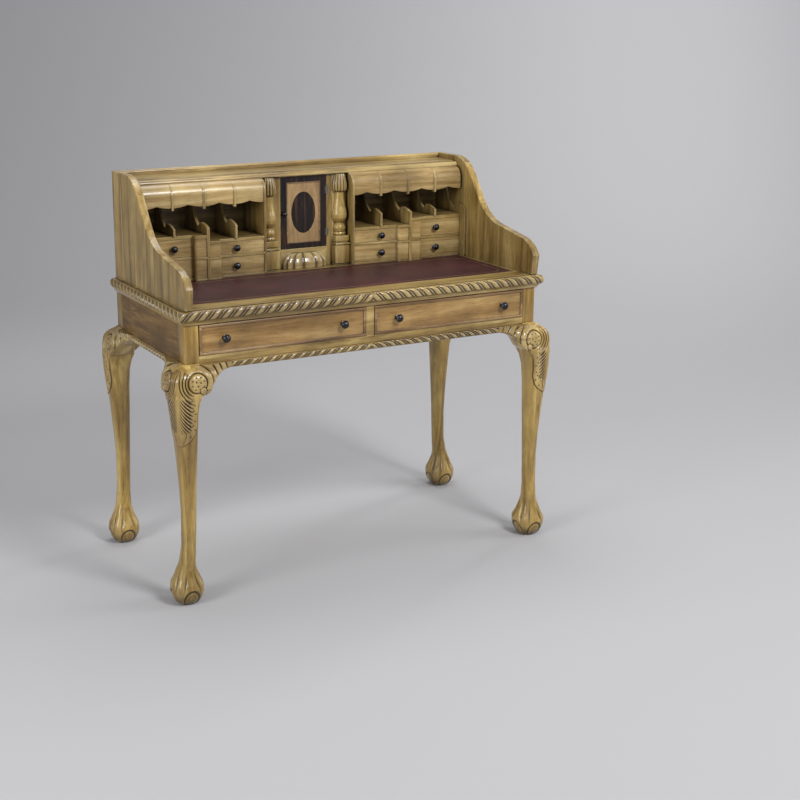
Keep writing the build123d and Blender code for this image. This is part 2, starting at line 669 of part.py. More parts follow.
for side, hand in ((-1, "left"), (1, "right")):
    span = on_side(side, DRAWER_NEAR, DRAWER_FAR)
    centre_x = sum(span) / 2
    centre_z = (DRAWER_LOW + DRAWER_HIGH) / 2
    with BuildPart() as drawer_front:
        with BuildSketch(Plane.XZ.offset(-RAIL_BACK)):
            with Locations((centre_x, centre_z)):
                Rectangle(span[1] - span[0], DRAWER_HIGH - DRAWER_LOW)
        extrude(amount=RAIL_BACK - DRAWER_FIELD)
        with BuildSketch(Plane.XZ.offset(-DRAWER_FIELD)):
            with Locations((centre_x, centre_z)):
                Rectangle(span[1] - span[0], DRAWER_HIGH - DRAWER_LOW)
                inner_width = span[1] - span[0] - 2 * BEAD_WIDTH
                inner_height = DRAWER_HIGH - DRAWER_LOW - 2 * BEAD_WIDTH
                Rectangle(inner_width, inner_height, mode=Mode.SUBTRACT)
        extrude(amount=BEAD_PROUD)
        bead_rim = drawer_front.faces().sort_by(Axis.Y)[0].edges()
        fillet(bead_rim, 2)
    name = f"apron_drawer_{hand}_front"
    drawer_front.part.label = name
    export_step(drawer_front.part, f"parts/{name}.step")

    box_x = (span[0] + 1, span[1] - 1)
    box_z = (DRAWER_LOW, DRAWER_HIGH - 10)
    depth = (RAIL_BACK, DRAWER_REAR)
    clear_x = (box_x[0] + DRAWER_SIDE, box_x[1] - DRAWER_SIDE)
    floor_z = (DRAWER_LOW, DRAWER_LOW + DRAWER_BOTTOM)
    rear_z = (floor_z[1], box_z[1])
    write(
        f"apron_drawer_{hand}_box",
        plank((box_x[0], clear_x[0]), depth, box_z),
        plank((clear_x[1], box_x[1]), depth, box_z),
        plank(clear_x, depth, floor_z),
        plank(clear_x, (DRAWER_REAR - DRAWER_SIDE, DRAWER_REAR), rear_z),
    )
    pulls = [
        knob(centre_x + way * APRON_KNOB_SPREAD, DRAWER_FIELD, APRON_KNOB_HEIGHT,
             LARGE_KNOB_RADIUS, 24)
        for way in (-1, 1)
    ]
    write(f"apron_drawer_{hand}_knobs", *pulls)

# --------------------------------------------------------------- small drawers
FRONT_BACK = FIELD_FRONT + DRAWER_SET_BACK + 10
SMALL_SIDE = 5
SMALL_BOTTOM = 4
SMALL_REAR = BACK_INNER - 8
SMALL_TOP_GAP = 5
drawer_fronts = (BLOCK_FRONT + DRAWER_SET_BACK, FIELD_FRONT + DRAWER_SET_BACK)


def small_drawer(column, level, side, hand):
    """A blocked front, a box of four thin boards and one knob."""
    bank = BANKS[column]
    low, high = bank["drawers"][level]
    z = (low + FIT, high - FIT)
    name = f"{column}_{level}_drawer_{hand}"
    front = blocked_slab(column, side, drawer_fronts, FRONT_BACK, z, FIT)
    write(f"{name}_front", front)
    near, far = bank["x"]
    x = on_side(side, near + 1.5, far - 1.5)
    clear_x = (x[0] + SMALL_SIDE, x[1] - SMALL_SIDE)
    depth = (FRONT_BACK, SMALL_REAR)
    box_z = (z[0], z[1] - SMALL_TOP_GAP)
    floor_z = (z[0], z[0] + SMALL_BOTTOM)
    write(
        f"{name}_box",
        plank((x[0], clear_x[0]), depth, box_z),
        plank((clear_x[1], x[1]), depth, box_z),
        plank(clear_x, depth, floor_z),
        plank(clear_x, (SMALL_REAR - SMALL_SIDE, SMALL_REAR), (floor_z[1], box_z[1])),
    )
    middle = (low + high) / 2
    pull = knob(side * bank["knob_x"], drawer_fronts[1], middle, SMALL_KNOB_RADIUS, 18)
    write(f"{name}_knob", pull)


for column, bank in BANKS.items():
    for level in bank["drawers"]:
        small_drawer(column, level, -1, "left")
        small_drawer(column, level, 1, "right")

# -------------------------------------------------------------- document boxes
SLOT_MIDDLE = (STILE_OUTER + WALL_INNER) / 2
SLOT_HALF = (WALL_INNER - STILE_OUTER) / 2 - FIT
COLUMN_AXIS_Y = 140
BASE_BLOCK_TOP = 838
LEDGE_Z = (840, 845)
PLINTH_Z = (849, 865)
CAPITAL_TOP = TOP_BOARD_UNDER - 2
CASE_WALL = 4
CASE_TOP = 1030
CASE_REAR = BACK_INNER - 4


def document_box(side, hand):
    """A narrow upright box that pulls out behind its turned half column."""
    middle = side * SLOT_MIDDLE
    x = (middle - SLOT_HALF, middle + SLOT_HALF)
    with BuildPart() as pilaster:
        with BuildSketch(Plane.XY.offset(BASE_TOP + FIT)):
            with Locations((middle, COLUMN_AXIS_Y + 4)):
                Rectangle(2 * SLOT_HALF, 8)
        extrude(amount=CAPITAL_TOP - BASE_TOP - FIT)
        blocks = (
            (SLOT_HALF, 25, BASE_TOP + FIT, BASE_BLOCK_TOP),
            (18, 20, BASE_BLOCK_TOP, LEDGE_Z[0]),
            (SLOT_HALF, 28, *LEDGE_Z),
            (19, 22, LEDGE_Z[1], PLINTH_Z[0]),
            (22, 24, *PLINTH_Z),
        )
        for half, proud, low, high in blocks:
            with BuildSketch(Plane.XY.offset(low)):
                with Locations((middle, COLUMN_AXIS_Y - proud / 2)):
                    Rectangle(2 * half, proud)
            extrude(amount=high - low)
        with BuildSketch(Plane((middle, COLUMN_AXIS_Y, 0), x_dir=(1, 0, 0), z_dir=(0, -1, 0))):
            with BuildLine():
                foot = Line((0, PLINTH_Z[1]), (16, PLINTH_Z[1]))
                low_ring = ThreePointArc(foot @ 1, (19, 871), (16, 877))
                ring = ThreePointArc(low_ring @ 1, (19, 887), (15, 897))
                throat = Polyline(ring @ 1, (13, 900), (13, 904), (17, 907))
                bulb = Spline(throat @ 1, (23.3, 925), (18, 950), (13.5, 991))
                lip = Polyline(bulb @ 1, (13.5, 993), (21, 995))
                bell = ThreePointArc(lip @ 1, (23.3, 1010), (15, CAPITAL_TOP))
                Polyline(bell @ 1, (0, CAPITAL_TOP), (0, PLINTH_Z[1]))
            make_face()
        turned = revolve(axis=Axis((middle, COLUMN_AXIS_Y, 0), (0, 0, 1)), mode=Mode.PRIVATE)
        half_turned = split(turned, Plane.XZ.offset(-COLUMN_AXIS_Y - 1), keep=Keep.TOP,
                            mode=Mode.PRIVATE)
        add(half_turned)
    name = f"document_box_{hand}_pilaster"
    pilaster.part.label = name
    export_step(pilaster.part, f"parts/{name}.step")

    clear_x = (x[0] + CASE_WALL, x[1] - CASE_WALL)
    depth = (COLUMN_AXIS_Y + 8, CASE_REAR)
    case_z = (BASE_TOP + FIT, CASE_TOP)
    floor_z = (case_z[0], case_z[0] + CASE_WALL)
    write(
        f"document_box_{hand}_case",
        plank((x[0], clear_x[0]), depth, case_z),
        plank((clear_x[1], x[1]), depth, case_z),
        plank(clear_x, depth, floor_z),
        plank(clear_x, (CASE_REAR - CASE_WALL, CASE_REAR), (floor_z[1], CASE_TOP)),
    )


document_box(-1, "left")
document_box(1, "right")

# --------------------------------------------------------------- cupboard door
DOOR_HALF = STILE_INNER - 1
DOOR_LOW = CUPBOARD_FLOOR + FIT
DOOR_HIGH = TOP_BOARD_UNDER - HEAD_RAIL - FIT
DOOR_THICK = 14
FIELD_HALF = 53.5
FIELD_LOW = 850
FIELD_HIGH = 1025
OVAL_X = 38.5
OVAL_Z = 59.5
OVAL_DEEP = 2


def mitred_member(outer_from, outer_to, inner_to, inner_from):
    """One member of the door frame, mitred at both ends, through the door's thickness."""
    with BuildPart() as member:
        with BuildSketch(Plane.XZ.offset(-DOOR_FACE)):
            with BuildLine():
                Polyline(outer_from, outer_to, inner_to, inner_from, close=True)
            make_face()
        extrude(amount=-DOOR_THICK)
    return member.part


door_corners = [
    (-DOOR_HALF, DOOR_LOW),
    (DOOR_HALF, DOOR_LOW),
    (DOOR_HALF, DOOR_HIGH),
    (-DOOR_HALF, DOOR_HIGH),
]
field_corners = [
    (-FIELD_HALF, FIELD_LOW),
    (FIELD_HALF, FIELD_LOW),
    (FIELD_HALF, FIELD_HIGH),
    (-FIELD_HALF, FIELD_HIGH),
]
members = []
for here in range(4):
    there = (here + 1) % 4
    outer = (door_corners[here], door_corners[there])
    members.append(mitred_member(*outer, field_corners[there], field_corners[here]))
write("door_frame", *members)

field_middle = (0, (FIELD_LOW + FIELD_HIGH) / 2)
FIELD_SET_BACK = 2
field_face = DOOR_FACE + FIELD_SET_BACK
with BuildPart() as door_panel:
    with BuildSketch(Plane.XZ.offset(-field_face)):
        with Locations(field_middle):
            Rectangle(2 * FIELD_HALF, FIELD_HIGH - FIELD_LOW)
    extrude(amount=-DOOR_THICK + 2 * FIELD_SET_BACK)
    with BuildSketch(Plane.XZ.offset(-field_face)) as oval:
        with Locations(field_middle):
            Ellipse(OVAL_X, OVAL_Z)
    extrude(amount=-OVAL_DEEP, mode=Mode.SUBTRACT)
door_panel.part.label = "door_panel"
export_step(door_panel.part, "parts/door_panel.step")

with BuildPart() as door_oval_inlay:
    with BuildSketch(Plane.XZ.offset(-field_face)):
        add(oval.sketch_local)
    extrude(amount=-OVAL_DEEP)
door_oval_inlay.part.label = "door_oval_inlay"
export_step(door_oval_inlay.part, "parts/door_oval_inlay.step")

DOOR_KNOB_X = -63
DOOR_KNOB_Z = 937
write("door_knob", knob(DOOR_KNOB_X, DOOR_FACE, DOOR_KNOB_Z, 7, 14))

# --------------------------------------------------------------- door hinges
HINGE_X = 73
HINGE_HEIGHTS = (877, 998)
KNUCKLE_RADIUS = 2.4
PIN_RADIUS = 0.9
PIN_HOLE = 0.96
LEAF_THICK = 1
LEAF_WIDTH = 2.4
LEAF_GAP = KNUCKLE_RADIUS + 0.2  # the plates clear the other leaf's knuckles
HINGE_HALF = 11
MIDDLE_HALF = 3.6
KNUCKLE_GAP = 0.3
HINGE_Y = DOOR_FACE - KNUCKLE_RADIUS - 0.1


def knuckle(z_low, z_high, hole):
    """A short tube about the hinge line."""
    with BuildPart() as tube:
        with BuildSketch(Plane.XY.offset(z_low)):
            with Locations((HINGE_X, HINGE_Y)):
                Circle(KNUCKLE_RADIUS)
                if hole:
                    Circle(PIN_HOLE, mode=Mode.SUBTRACT)
        extrude(amount=z_high - z_low)
    return tube.part


def leaf(way, height, bands, hole):
    """A flat leaf with its knuckles: way is -1 for the door's, 1 for the stile's."""
    plate_x = sorted((HINGE_X + way * LEAF_GAP, HINGE_X + way * (LEAF_GAP + LEAF_WIDTH)))
    web_x = sorted((HINGE_X + way * (PIN_HOLE + 0.3), HINGE_X + way * (LEAF_GAP + 0.5)))
    with BuildPart() as flap:
        add(plank(plate_x, leaf_y, (height - HINGE_HALF, height + HINGE_HALF)))
        for low, high in bands:
            band = (height + low, height + high)
            add(plank(web_x, (HINGE_Y, DOOR_FACE), band))
            add(knuckle(*band, hole))
        if not hole:
            with BuildSketch(Plane.XY.offset(height - HINGE_HALF)):
                with Locations((HINGE_X, HINGE_Y)):
                    Circle(PIN_RADIUS)
            extrude(amount=2 * HINGE_HALF)
    return flap.part


leaf_y = (DOOR_FACE - LEAF_THICK, DOOR_FACE)
inner_end = MIDDLE_HALF + KNUCKLE_GAP
moving_bands = ((-HINGE_HALF, -inner_end), (inner_end, HINGE_HALF))
fixed_bands = ((-MIDDLE_HALF, MIDDLE_HALF),)
moving_leaves = [leaf(-1, height, moving_bands, True) for height in HINGE_HEIGHTS]
fixed_leaves = [leaf(1, height, fixed_bands, False) for height in HINGE_HEIGHTS]
write("door_hinge_leaves", *moving_leaves)
write("stile_hinge_leaves", *fixed_leaves)
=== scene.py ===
import math

import bmesh
import bpy
import numpy as np
from mathutils import Matrix, Vector


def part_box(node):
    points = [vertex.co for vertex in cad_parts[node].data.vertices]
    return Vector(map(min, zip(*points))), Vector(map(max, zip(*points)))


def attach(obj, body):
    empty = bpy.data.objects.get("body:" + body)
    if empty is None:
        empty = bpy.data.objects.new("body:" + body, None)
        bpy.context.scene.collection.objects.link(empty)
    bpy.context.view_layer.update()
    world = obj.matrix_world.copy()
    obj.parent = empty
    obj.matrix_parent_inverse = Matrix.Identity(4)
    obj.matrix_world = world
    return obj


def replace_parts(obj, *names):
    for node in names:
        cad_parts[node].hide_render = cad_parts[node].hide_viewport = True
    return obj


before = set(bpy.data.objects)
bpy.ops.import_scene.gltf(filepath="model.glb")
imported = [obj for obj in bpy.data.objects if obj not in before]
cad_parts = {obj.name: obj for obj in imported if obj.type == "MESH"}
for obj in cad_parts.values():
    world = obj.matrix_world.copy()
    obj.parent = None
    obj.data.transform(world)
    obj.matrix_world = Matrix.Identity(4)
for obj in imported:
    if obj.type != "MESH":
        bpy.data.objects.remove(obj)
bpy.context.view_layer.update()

# ------------------------------------------------------------------ measures, mm
HALF_WIDTH = 530
HALF_DEPTH = 253
POST_X = 510.5
POST_Y = 232
POST_INNER_X = 491
POST_INNER_Y = 211
APRON_BOTTOM = 639
APRON_TOP = 753
SURFACE = 780
FRAME_BODY = "desk_frame"


# ---------------------------------------------------------------------- the camera
CAMERA_PLACE = (-1.7697, -3.4325, 1.5201)
CAMERA_YAW = -0.4755
CAMERA_PITCH = -0.2614
CAMERA_ROLL = -0.0022
CAMERA_LENS = 63.016
CAMERA_SENSOR = 36
CAMERA_SHIFT = (0.0925, -0.03)


def place_camera():
    """A long lens at the left front of the desk, a little above its top."""
    level = math.cos(CAMERA_PITCH)
    ahead = Vector((-math.sin(CAMERA_YAW) * level, math.cos(CAMERA_YAW) * level, math.sin(CAMERA_PITCH)))
    right = Vector((math.cos(CAMERA_YAW), math.sin(CAMERA_YAW), 0))
    up = right.cross(ahead)
    turn = Matrix((right, up, -ahead)).transposed() @ Matrix.Rotation(CAMERA_ROLL, 3, "Z")
    lens = bpy.data.cameras.new("camera")
    lens.lens = CAMERA_LENS
    lens.sensor_width = CAMERA_SENSOR
    lens.shift_x, lens.shift_y = CAMERA_SHIFT
    camera = bpy.data.objects.new("camera", lens)
    camera.matrix_world = Matrix.Translation(CAMERA_PLACE) @ turn.to_4x4()
    bpy.context.scene.collection.objects.link(camera)
    bpy.context.scene.camera = camera


# ------------------------------------------------------------------ shader helpers
MIX_INPUTS = (0, 6, 7)  # a colour mix node's amount and its two colours
MIX_RESULT = 2


def feed(tree, socket, value):
    """Give a socket a value, or link another node's output to it."""
    if isinstance(value, bpy.types.NodeSocket):
        tree.links.new(value, socket)
    else:
        socket.default_value = value


def put(tree, kind, settings=None, **inputs):
    """Add a node; inputs are named sockets, given a value or another node's output."""
    made = tree.nodes.new(kind)
    for key, value in (settings or {}).items():
        setattr(made, key, value)
    for key, value in inputs.items():
        feed(tree, made.inputs[key.replace("_", " ")], value)
    return made


def mix(tree, amount, first, second, mode="MIX"):
    """Blend two colours."""
    made = put(tree, "ShaderNodeMix", {"data_type": "RGBA", "blend_type": mode})
    for number, value in zip(MIX_INPUTS, (amount, first, second)):
        feed(tree, made.inputs[number], value)
    return made.outputs[MIX_RESULT]


def maths(tree, operation, first, second=0.0, third=0.0):
    """One step of arithmetic."""
    made = put(tree, "ShaderNodeMath", {"operation": operation})
    for socket, value in zip(made.inputs, (first, second, third)):
        feed(tree, socket, value)
    return made.outputs[0]


def ramp(tree, amount, *stops):
    """Colour ramp through (place, colour) stops."""
    made = put(tree, "ShaderNodeValToRGB", Fac=amount)
    points = made.color_ramp.elements
    while len(points) < len(stops):
        points.new(0.5)
    for point, (place, colour) in zip(points, stops):
        point.position = place
        point.color = (*colour, 1)
    return made.outputs["Color"]


def new_material(name):
    """An empty material with its output and a Principled shader."""
    material = bpy.data.materials.new(name)
    material.use_nodes = True
    tree = material.node_tree
    tree.nodes.clear()
    output = put(tree, "ShaderNodeOutputMaterial")
    shader = put(tree, "ShaderNodeBsdfPrincipled")
    tree.links.new(shader.outputs["BSDF"], output.inputs["Surface"])
    return material, tree, shader


# ------------------------------------------------------------------------- woods
ALONG = {"X": (0.07, 1, 1), "Y": (1, 0.07, 1), "Z": (1, 1, 0.07)}
HONEY = ((0.180, 0.108, 0.028), (0.375, 0.252, 0.082), (0.57, 0.43, 0.185))
LEG = ((0.195, 0.112, 0.022), (0.400, 0.258, 0.066), (0.60, 0.44, 0.150))
POST = ((0.135, 0.074, 0.014), (0.285, 0.172, 0.040), (0.45, 0.31, 0.095))
APRON = ((0.075, 0.037, 0.010), (0.165, 0.091, 0.026), (0.27, 0.160, 0.050))
FRONTS = ((0.235, 0.142, 0.045), (0.440, 0.300, 0.120), (0.62, 0.47, 0.225))
LIP = ((0.190, 0.098, 0.026), (0.370, 0.220, 0.074), (0.53, 0.36, 0.145))
BEAD = ((0.10, 0.045, 0.015), (0.23, 0.120, 0.046), (0.42, 0.27, 0.125))
LINING = ((0.24, 0.16, 0.075), (0.36, 0.25, 0.125), (0.46, 0.34, 0.19))
ROSEWOOD = ((0.003, 0.003, 0.003), (0.014, 0.009, 0.008), (0.070, 0.027, 0.012))
SATINWOOD = ((0.27, 0.165, 0.075), (0.44, 0.285, 0.14), (0.55, 0.385, 0.20))
# dark tone of the stain in carved cuts, also the dark of the glaze that paints shade in corners and gaps
STAIN_AND_SHADE_TONE = (0.016, 0.009, 0.004)
# pale tone of edges: partly edge wear, partly painted highlight
EDGE_WEAR_AND_HIGHLIGHT_TONE = (0.78, 0.68, 0.48, 1)
RUB_TONE = (0.55, 0.44, 0.25, 1)
WHITE = (1, 1, 1)
BLACK = (0, 0, 0)
# ramps of a wood's tones, as stops of place and tone
GRAIN_PLACES = (0.32, 0.50, 0.66)
BLOTCHES = ((0.34, (0.62, 0.60, 0.56)), (0.66, (1.18, 1.18, 1.14)))
FIBRES = ((0.32, (0.42, 0.38, 0.32)), (0.48, WHITE))
BOARD_TONES = ((0.0, (0.78, 0.76, 0.70)), (1.0, (1.14, 1.12, 1.06)))
# painted shade: the wood darkens where ambient occlusion finds corners, recesses and nearby parts
PAINTED_SHADE_RAMP = ((0.12, (0.10, 0.085, 0.06)), (0.60, WHITE))
# dark glaze close in corners, found by ambient occlusion, so it also paints shade in gaps between parts
GLAZE_AND_SHADE_RAMP = ((0.34, WHITE), (0.74, BLACK))
# where an edge is painted pale, partly as wear and partly as painted highlight
EDGE_WEAR_AND_HIGHLIGHT_RAMP = ((0.86, WHITE), (0.985, BLACK))
# how far the painted shade and the glaze with its painted shade reach from a corner, and how round an edge
# looks, in metres
PAINTED_SHADE_REACH = 0.16
GLAZE_AND_SHADE_REACH = 0.009
EDGE_RADIUS = 0.0018
PORE_SCALE = 430.0
CLOUD_SCALE = 6.0
SHADE_SAMPLES = {"samples": 4}
SATIN_GLOSS = 0.4


def glued_boards(tree, place, axis, width):
    """Grain that shifts from board to board: its place, and each board's own tone."""
    across = put(tree, "ShaderNodeSeparateXYZ", Vector=place).outputs[axis]
    board = maths(tree, "FLOOR", maths(tree, "DIVIDE", across, width))
    toss = put(tree, "ShaderNodeTexWhiteNoise", {"noise_dimensions": "1D"}, W=board)
    moved = put(tree, "ShaderNodeVectorMath", {"operation": "ADD"})
    tree.links.new(place, moved.inputs[0])
    tree.links.new(toss.outputs["Color"], moved.inputs[1])
    return moved.outputs[0], toss.outputs["Value"]


def carved_tones(tree, colour):
    """Pale crests and stained cuts, where the carving marks its own points."""
    patina = put(tree, "ShaderNodeAttribute", {"attribute_name": "patina"}).outputs["Fac"]
    crest = put(tree, "ShaderNodeAttribute", {"attribute_name": "crest"}).outputs["Fac"]
    colour = mix(tree, maths(tree, "MULTIPLY", crest, 0.30), colour, RUB_TONE)
    return mix(tree, maths(tree, "MULTIPLY", patina, 0.96), colour, (*STAIN_AND_SHADE_TONE, 1))


def edges_worn_and_highlit(tree, colour, glaze_and_shade_amount, bump):
    """Edges rounded for the light, and painted pale where neither glaze nor painted shade lies: partly edge
    wear, partly painted highlight.
    """
    soft = put(tree, "ShaderNodeBevel", SHADE_SAMPLES, Radius=EDGE_RADIUS)
    tree.links.new(soft.outputs[0], bump.inputs["Normal"])
    flat = put(tree, "ShaderNodeNewGeometry").outputs["Normal"]
    turned = put(tree, "ShaderNodeVectorMath", {"operation": "DOT_PRODUCT"})
    tree.links.new(soft.outputs[0], turned.inputs[0])
    tree.links.new(flat, turned.inputs[1])
    # pale edges: partly wear, partly painted highlight, kept off the glaze and its painted shade
    edge = ramp(tree, turned.outputs["Value"], *EDGE_WEAR_AND_HIGHLIGHT_RAMP)
    edge = maths(tree, "MULTIPLY", edge, maths(tree, "SUBTRACT", 1.0, glaze_and_shade_amount))
    return mix(tree, maths(tree, "MULTIPLY", edge, 0.5), colour, EDGE_WEAR_AND_HIGHLIGHT_TONE)


def wood(name, grain, tones, gloss=0.34, wear_glaze_and_painted_light=True, carved=False, figure=24.0, boards=None, painted_shade=0.75):
    """Waxed wood with its grain along one axis, painted shade in corners and recesses, dark glaze mixed with
    painted shade close in the corners, and pale edges that are partly wear and partly painted highlight.

    boards names the axis that glued boards lie side by side along, and their width."""
    material, tree, shader = new_material(name)
    place = put(tree, "ShaderNodeTexCoord").outputs["Object"]
    spot, board_tone = glued_boards(tree, place, *boards) if boards else (place, None)
    along = put(tree, "ShaderNodeMapping", Vector=spot, Scale=ALONG[grain])
    lines = put(tree, "ShaderNodeTexNoise", Vector=along.outputs[0], Scale=figure, Detail=8.0,
                Roughness=0.66, Distortion=1.6)
    clouds = put(tree, "ShaderNodeTexNoise", Vector=spot, Scale=CLOUD_SCALE, Detail=4.0, Roughness=0.6)
    pores = put(tree, "ShaderNodeTexNoise", Vector=along.outputs[0], Scale=PORE_SCALE, Detail=4.0,
                Roughness=0.7)
    colour = ramp(tree, lines.outputs[0], *zip(GRAIN_PLACES, tones))
    colour = mix(tree, 0.85, colour, ramp(tree, clouds.outputs[0], *BLOTCHES), "MULTIPLY")
    colour = mix(tree, 0.6, colour, ramp(tree, pores.outputs[0], *FIBRES), "MULTIPLY")
    if boards:
        colour = mix(tree, 0.9, colour, ramp(tree, board_tone, *BOARD_TONES), "MULTIPLY")
    # painted shade: colour darkened where ambient occlusion finds nearby surfaces, as in pigeonholes and
    # corners
    depth = put(tree, "ShaderNodeAmbientOcclusion", SHADE_SAMPLES, Distance=PAINTED_SHADE_REACH)
    colour = mix(tree, painted_shade, colour, ramp(tree, depth.outputs["AO"], *PAINTED_SHADE_RAMP), "MULTIPLY")
    if wear_glaze_and_painted_light:
        # dark glaze in corners: partly real glaze, partly painted shade in gaps between parts
        glaze_and_shade_ao = put(tree, "ShaderNodeAmbientOcclusion", SHADE_SAMPLES, Distance=GLAZE_AND_SHADE_REACH)
        glaze_and_shade_amount = ramp(tree, glaze_and_shade_ao.outputs["AO"], *GLAZE_AND_SHADE_RAMP)
        colour = mix(tree, maths(tree, "MULTIPLY", glaze_and_shade_amount, 0.85), colour, (*STAIN_AND_SHADE_TONE, 1))
    if carved:
        colour = carved_tones(tree, colour)
    sheen = maths(tree, "MULTIPLY_ADD", lines.outputs[0], 0.24, gloss - 0.12)
    height = maths(tree, "MULTIPLY_ADD", pores.outputs[0], 0.5, lines.outputs[0])
    bump = put(tree, "ShaderNodeBump", Strength=0.3, Distance=0.0007, Height=height)
    # rounded edges, painted pale as wear and as highlight
    if wear_glaze_and_painted_light:
        colour = edges_worn_and_highlit(tree, colour, glaze_and_shade_amount, bump)
    tree.links.new(colour, shader.inputs["Base Color"])
    tree.links.new(sheen, shader.inputs["Roughness"])
    tree.links.new(bump.outputs[0], shader.inputs["Normal"])
    shader.inputs["Coat Weight"].default_value = 0.35 if gloss < SATIN_GLOSS else 0.08
    shader.inputs["Coat Roughness"].default_value = 0.16
    return material


def metal(name, colour, rubbed, rough):
    """Cast metal, rubbed bright in places."""
    material, tree, shader = new_material(name)
    place = put(tree, "ShaderNodeTexCoord").outputs["Object"]
    mottle = put(tree, "ShaderNodeTexNoise", Vector=place, Scale=260.0, Detail=5.0, Roughness=0.6)
    tint = ramp(tree, mottle.outputs[0], (0.35, colour), (0.75, rubbed))
    tree.links.new(tint, shader.inputs["Base Color"])
    uneven = maths(tree, "MULTIPLY_ADD", mottle.outputs[0], 0.25, rough - 0.12)
    tree.links.new(uneven, shader.inputs["Roughness"])
    bump = put(tree, "ShaderNodeBump", Strength=0.2, Distance=0.0003, Height=mottle.outputs[0])
    tree.links.new(bump.outputs[0], shader.inputs["Normal"])
    shader.inputs["Metallic"].default_value = 1.0
    return material


def hide(name):
    """Maroon desk leather: fine pebble grain, slightly mottled."""
    material, tree, shader = new_material(name)
    place = put(tree, "ShaderNodeTexCoord").outputs["Object"]
    pebbles = put(tree, "ShaderNodeTexVoronoi", {"feature": "SMOOTH_F1"}, Vector=place, Scale=620.0,
                  Smoothness=0.6)
    creases = put(tree, "ShaderNodeTexNoise", Vector=place, Scale=190.0, Detail=6.0, Roughness=0.65)
    clouds = put(tree, "ShaderNodeTexNoise", Vector=place, Scale=9.0, Detail=4.0, Roughness=0.6)
    colour = ramp(tree, clouds.outputs[0], (0.30, (0.026, 0.006, 0.010)), (0.55, (0.052, 0.011, 0.017)),
                  (0.75, (0.095, 0.022, 0.030)))
    grain = ramp(tree, pebbles.outputs["Distance"], (0.15, (1.15, 1.15, 1.15)), (0.75, (0.62, 0.58, 0.60)))
    colour = mix(tree, 0.6, colour, grain, "MULTIPLY")
    tree.links.new(colour, shader.inputs["Base Color"])
    rough = maths(tree, "MULTIPLY_ADD", creases.outputs[0], 0.30, 0.30)
    tree.links.new(rough, shader.inputs["Roughness"])
    height = maths(tree, "MULTIPLY_ADD", pebbles.outputs["Distance"], -0.6, creases.outputs[0])
    bump = put(tree, "ShaderNodeBump", Strength=0.35, Distance=0.0007, Height=height)
    tree.links.new(bump.outputs[0], shader.inputs["Normal"])
    shader.inputs["Specular IOR Level"].default_value = 0.34
    return material


wood_x = wood("honey_wood_lengthwise", "X", HONEY)
wood_z = wood("honey_wood_upright", "Z", HONEY)
post_wood = wood("corner_post_wood", "Z", POST, painted_shade=0.3)
side_wood = wood("glued_side_boards", "Z", HONEY, boards=("Y", 0.092))
top_wood = wood("glued_top_boards", "X", HONEY, boards=("Y", 0.105))
apron_side_wood = wood("brown_apron_side_wood", "Y", APRON, figure=34.0, gloss=0.5)
apron_back_wood = wood("brown_apron_back_wood", "X", APRON, figure=34.0)
front_wood = wood("drawer_front_wood", "X", FRONTS, figure=18.0)
lip_wood = wood("apron_drawer_wood", "X", LIP, figure=14.0, painted_shade=0.3)
bead_wood = wood("reddish_bead_wood", "X", BEAD)
carved_z = wood("carved_leg_wood", "Z", LEG, gloss=0.30, wear_glaze_and_painted_light=False, carved=True)
carved_x = wood("carved_lengthwise_wood", "X", HONEY, gloss=0.24, wear_glaze_and_painted_light=False, carved=True, painted_shade=0.4)
carved_y = wood("carved_depthwise_wood", "Y", HONEY, gloss=0.24, wear_glaze_and_painted_light=False, carved=True, painted_shade=0.4)
lining_wood = wood("drawer_lining_wood", "Y", LINING, gloss=0.55)
rosewood = wood("dark_rosewood", "Z", ROSEWOOD, gloss=0.26, wear_glaze_and_painted_light=False, figure=44.0)
satinwood = wood("satinwood_panel", "Z", SATINWOOD, gloss=0.30, wear_glaze_and_painted_light=False, figure=30.0)
bronze = metal("dark_bronze", (0.020, 0.020, 0.024), (0.10, 0.10, 0.11), 0.36)
hinge_metal = metal("dull_hinge_metal", (0.16, 0.155, 0.14), (0.42, 0.41, 0.38), 0.40)
gilt = metal("gilt_tooling", (0.45, 0.27, 0.08), (0.80, 0.55, 0.22), 0.40)
leather = hide("maroon_leather")


# ------------------------------------------------------------- finishes on CAD nodes
def finish(node, material, elsewhere=None, where=None):
    """Give a node its material, and another to the faces whose middle passes a test."""
    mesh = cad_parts[node].data
    mesh.materials.clear()
    mesh.materials.append(material)
    if elsewhere:
        mesh.materials.append(elsewhere)
        for face in mesh.polygons:
            face.material_index = 1 if where(face.center) else 0


SIDE_APRON_INNER = HALF_WIDTH - 20.5
RIB_PLACES = (231, 322, 414)
RIB_HALF = 3.1
BEAD_START = 252.3  # what stands further out than this is the bead round an apron drawer


def on_side_apron(spot):
    """Whether a face of the aprons belongs to a side one."""
    return abs(spot.x) > SIDE_APRON_INNER / 1000


def on_rib(spot):
    """Whether a face of the valances belongs to one of the ribs between them."""
    return min(abs(abs(spot.x) - rib / 1000) for rib in RIB_PLACES) < RIB_HALF / 1000


def on_bead(spot):
    """Whether a face of an apron drawer's front is on the bead that stands proud."""
    return spot.y < -BEAD_START / 1000


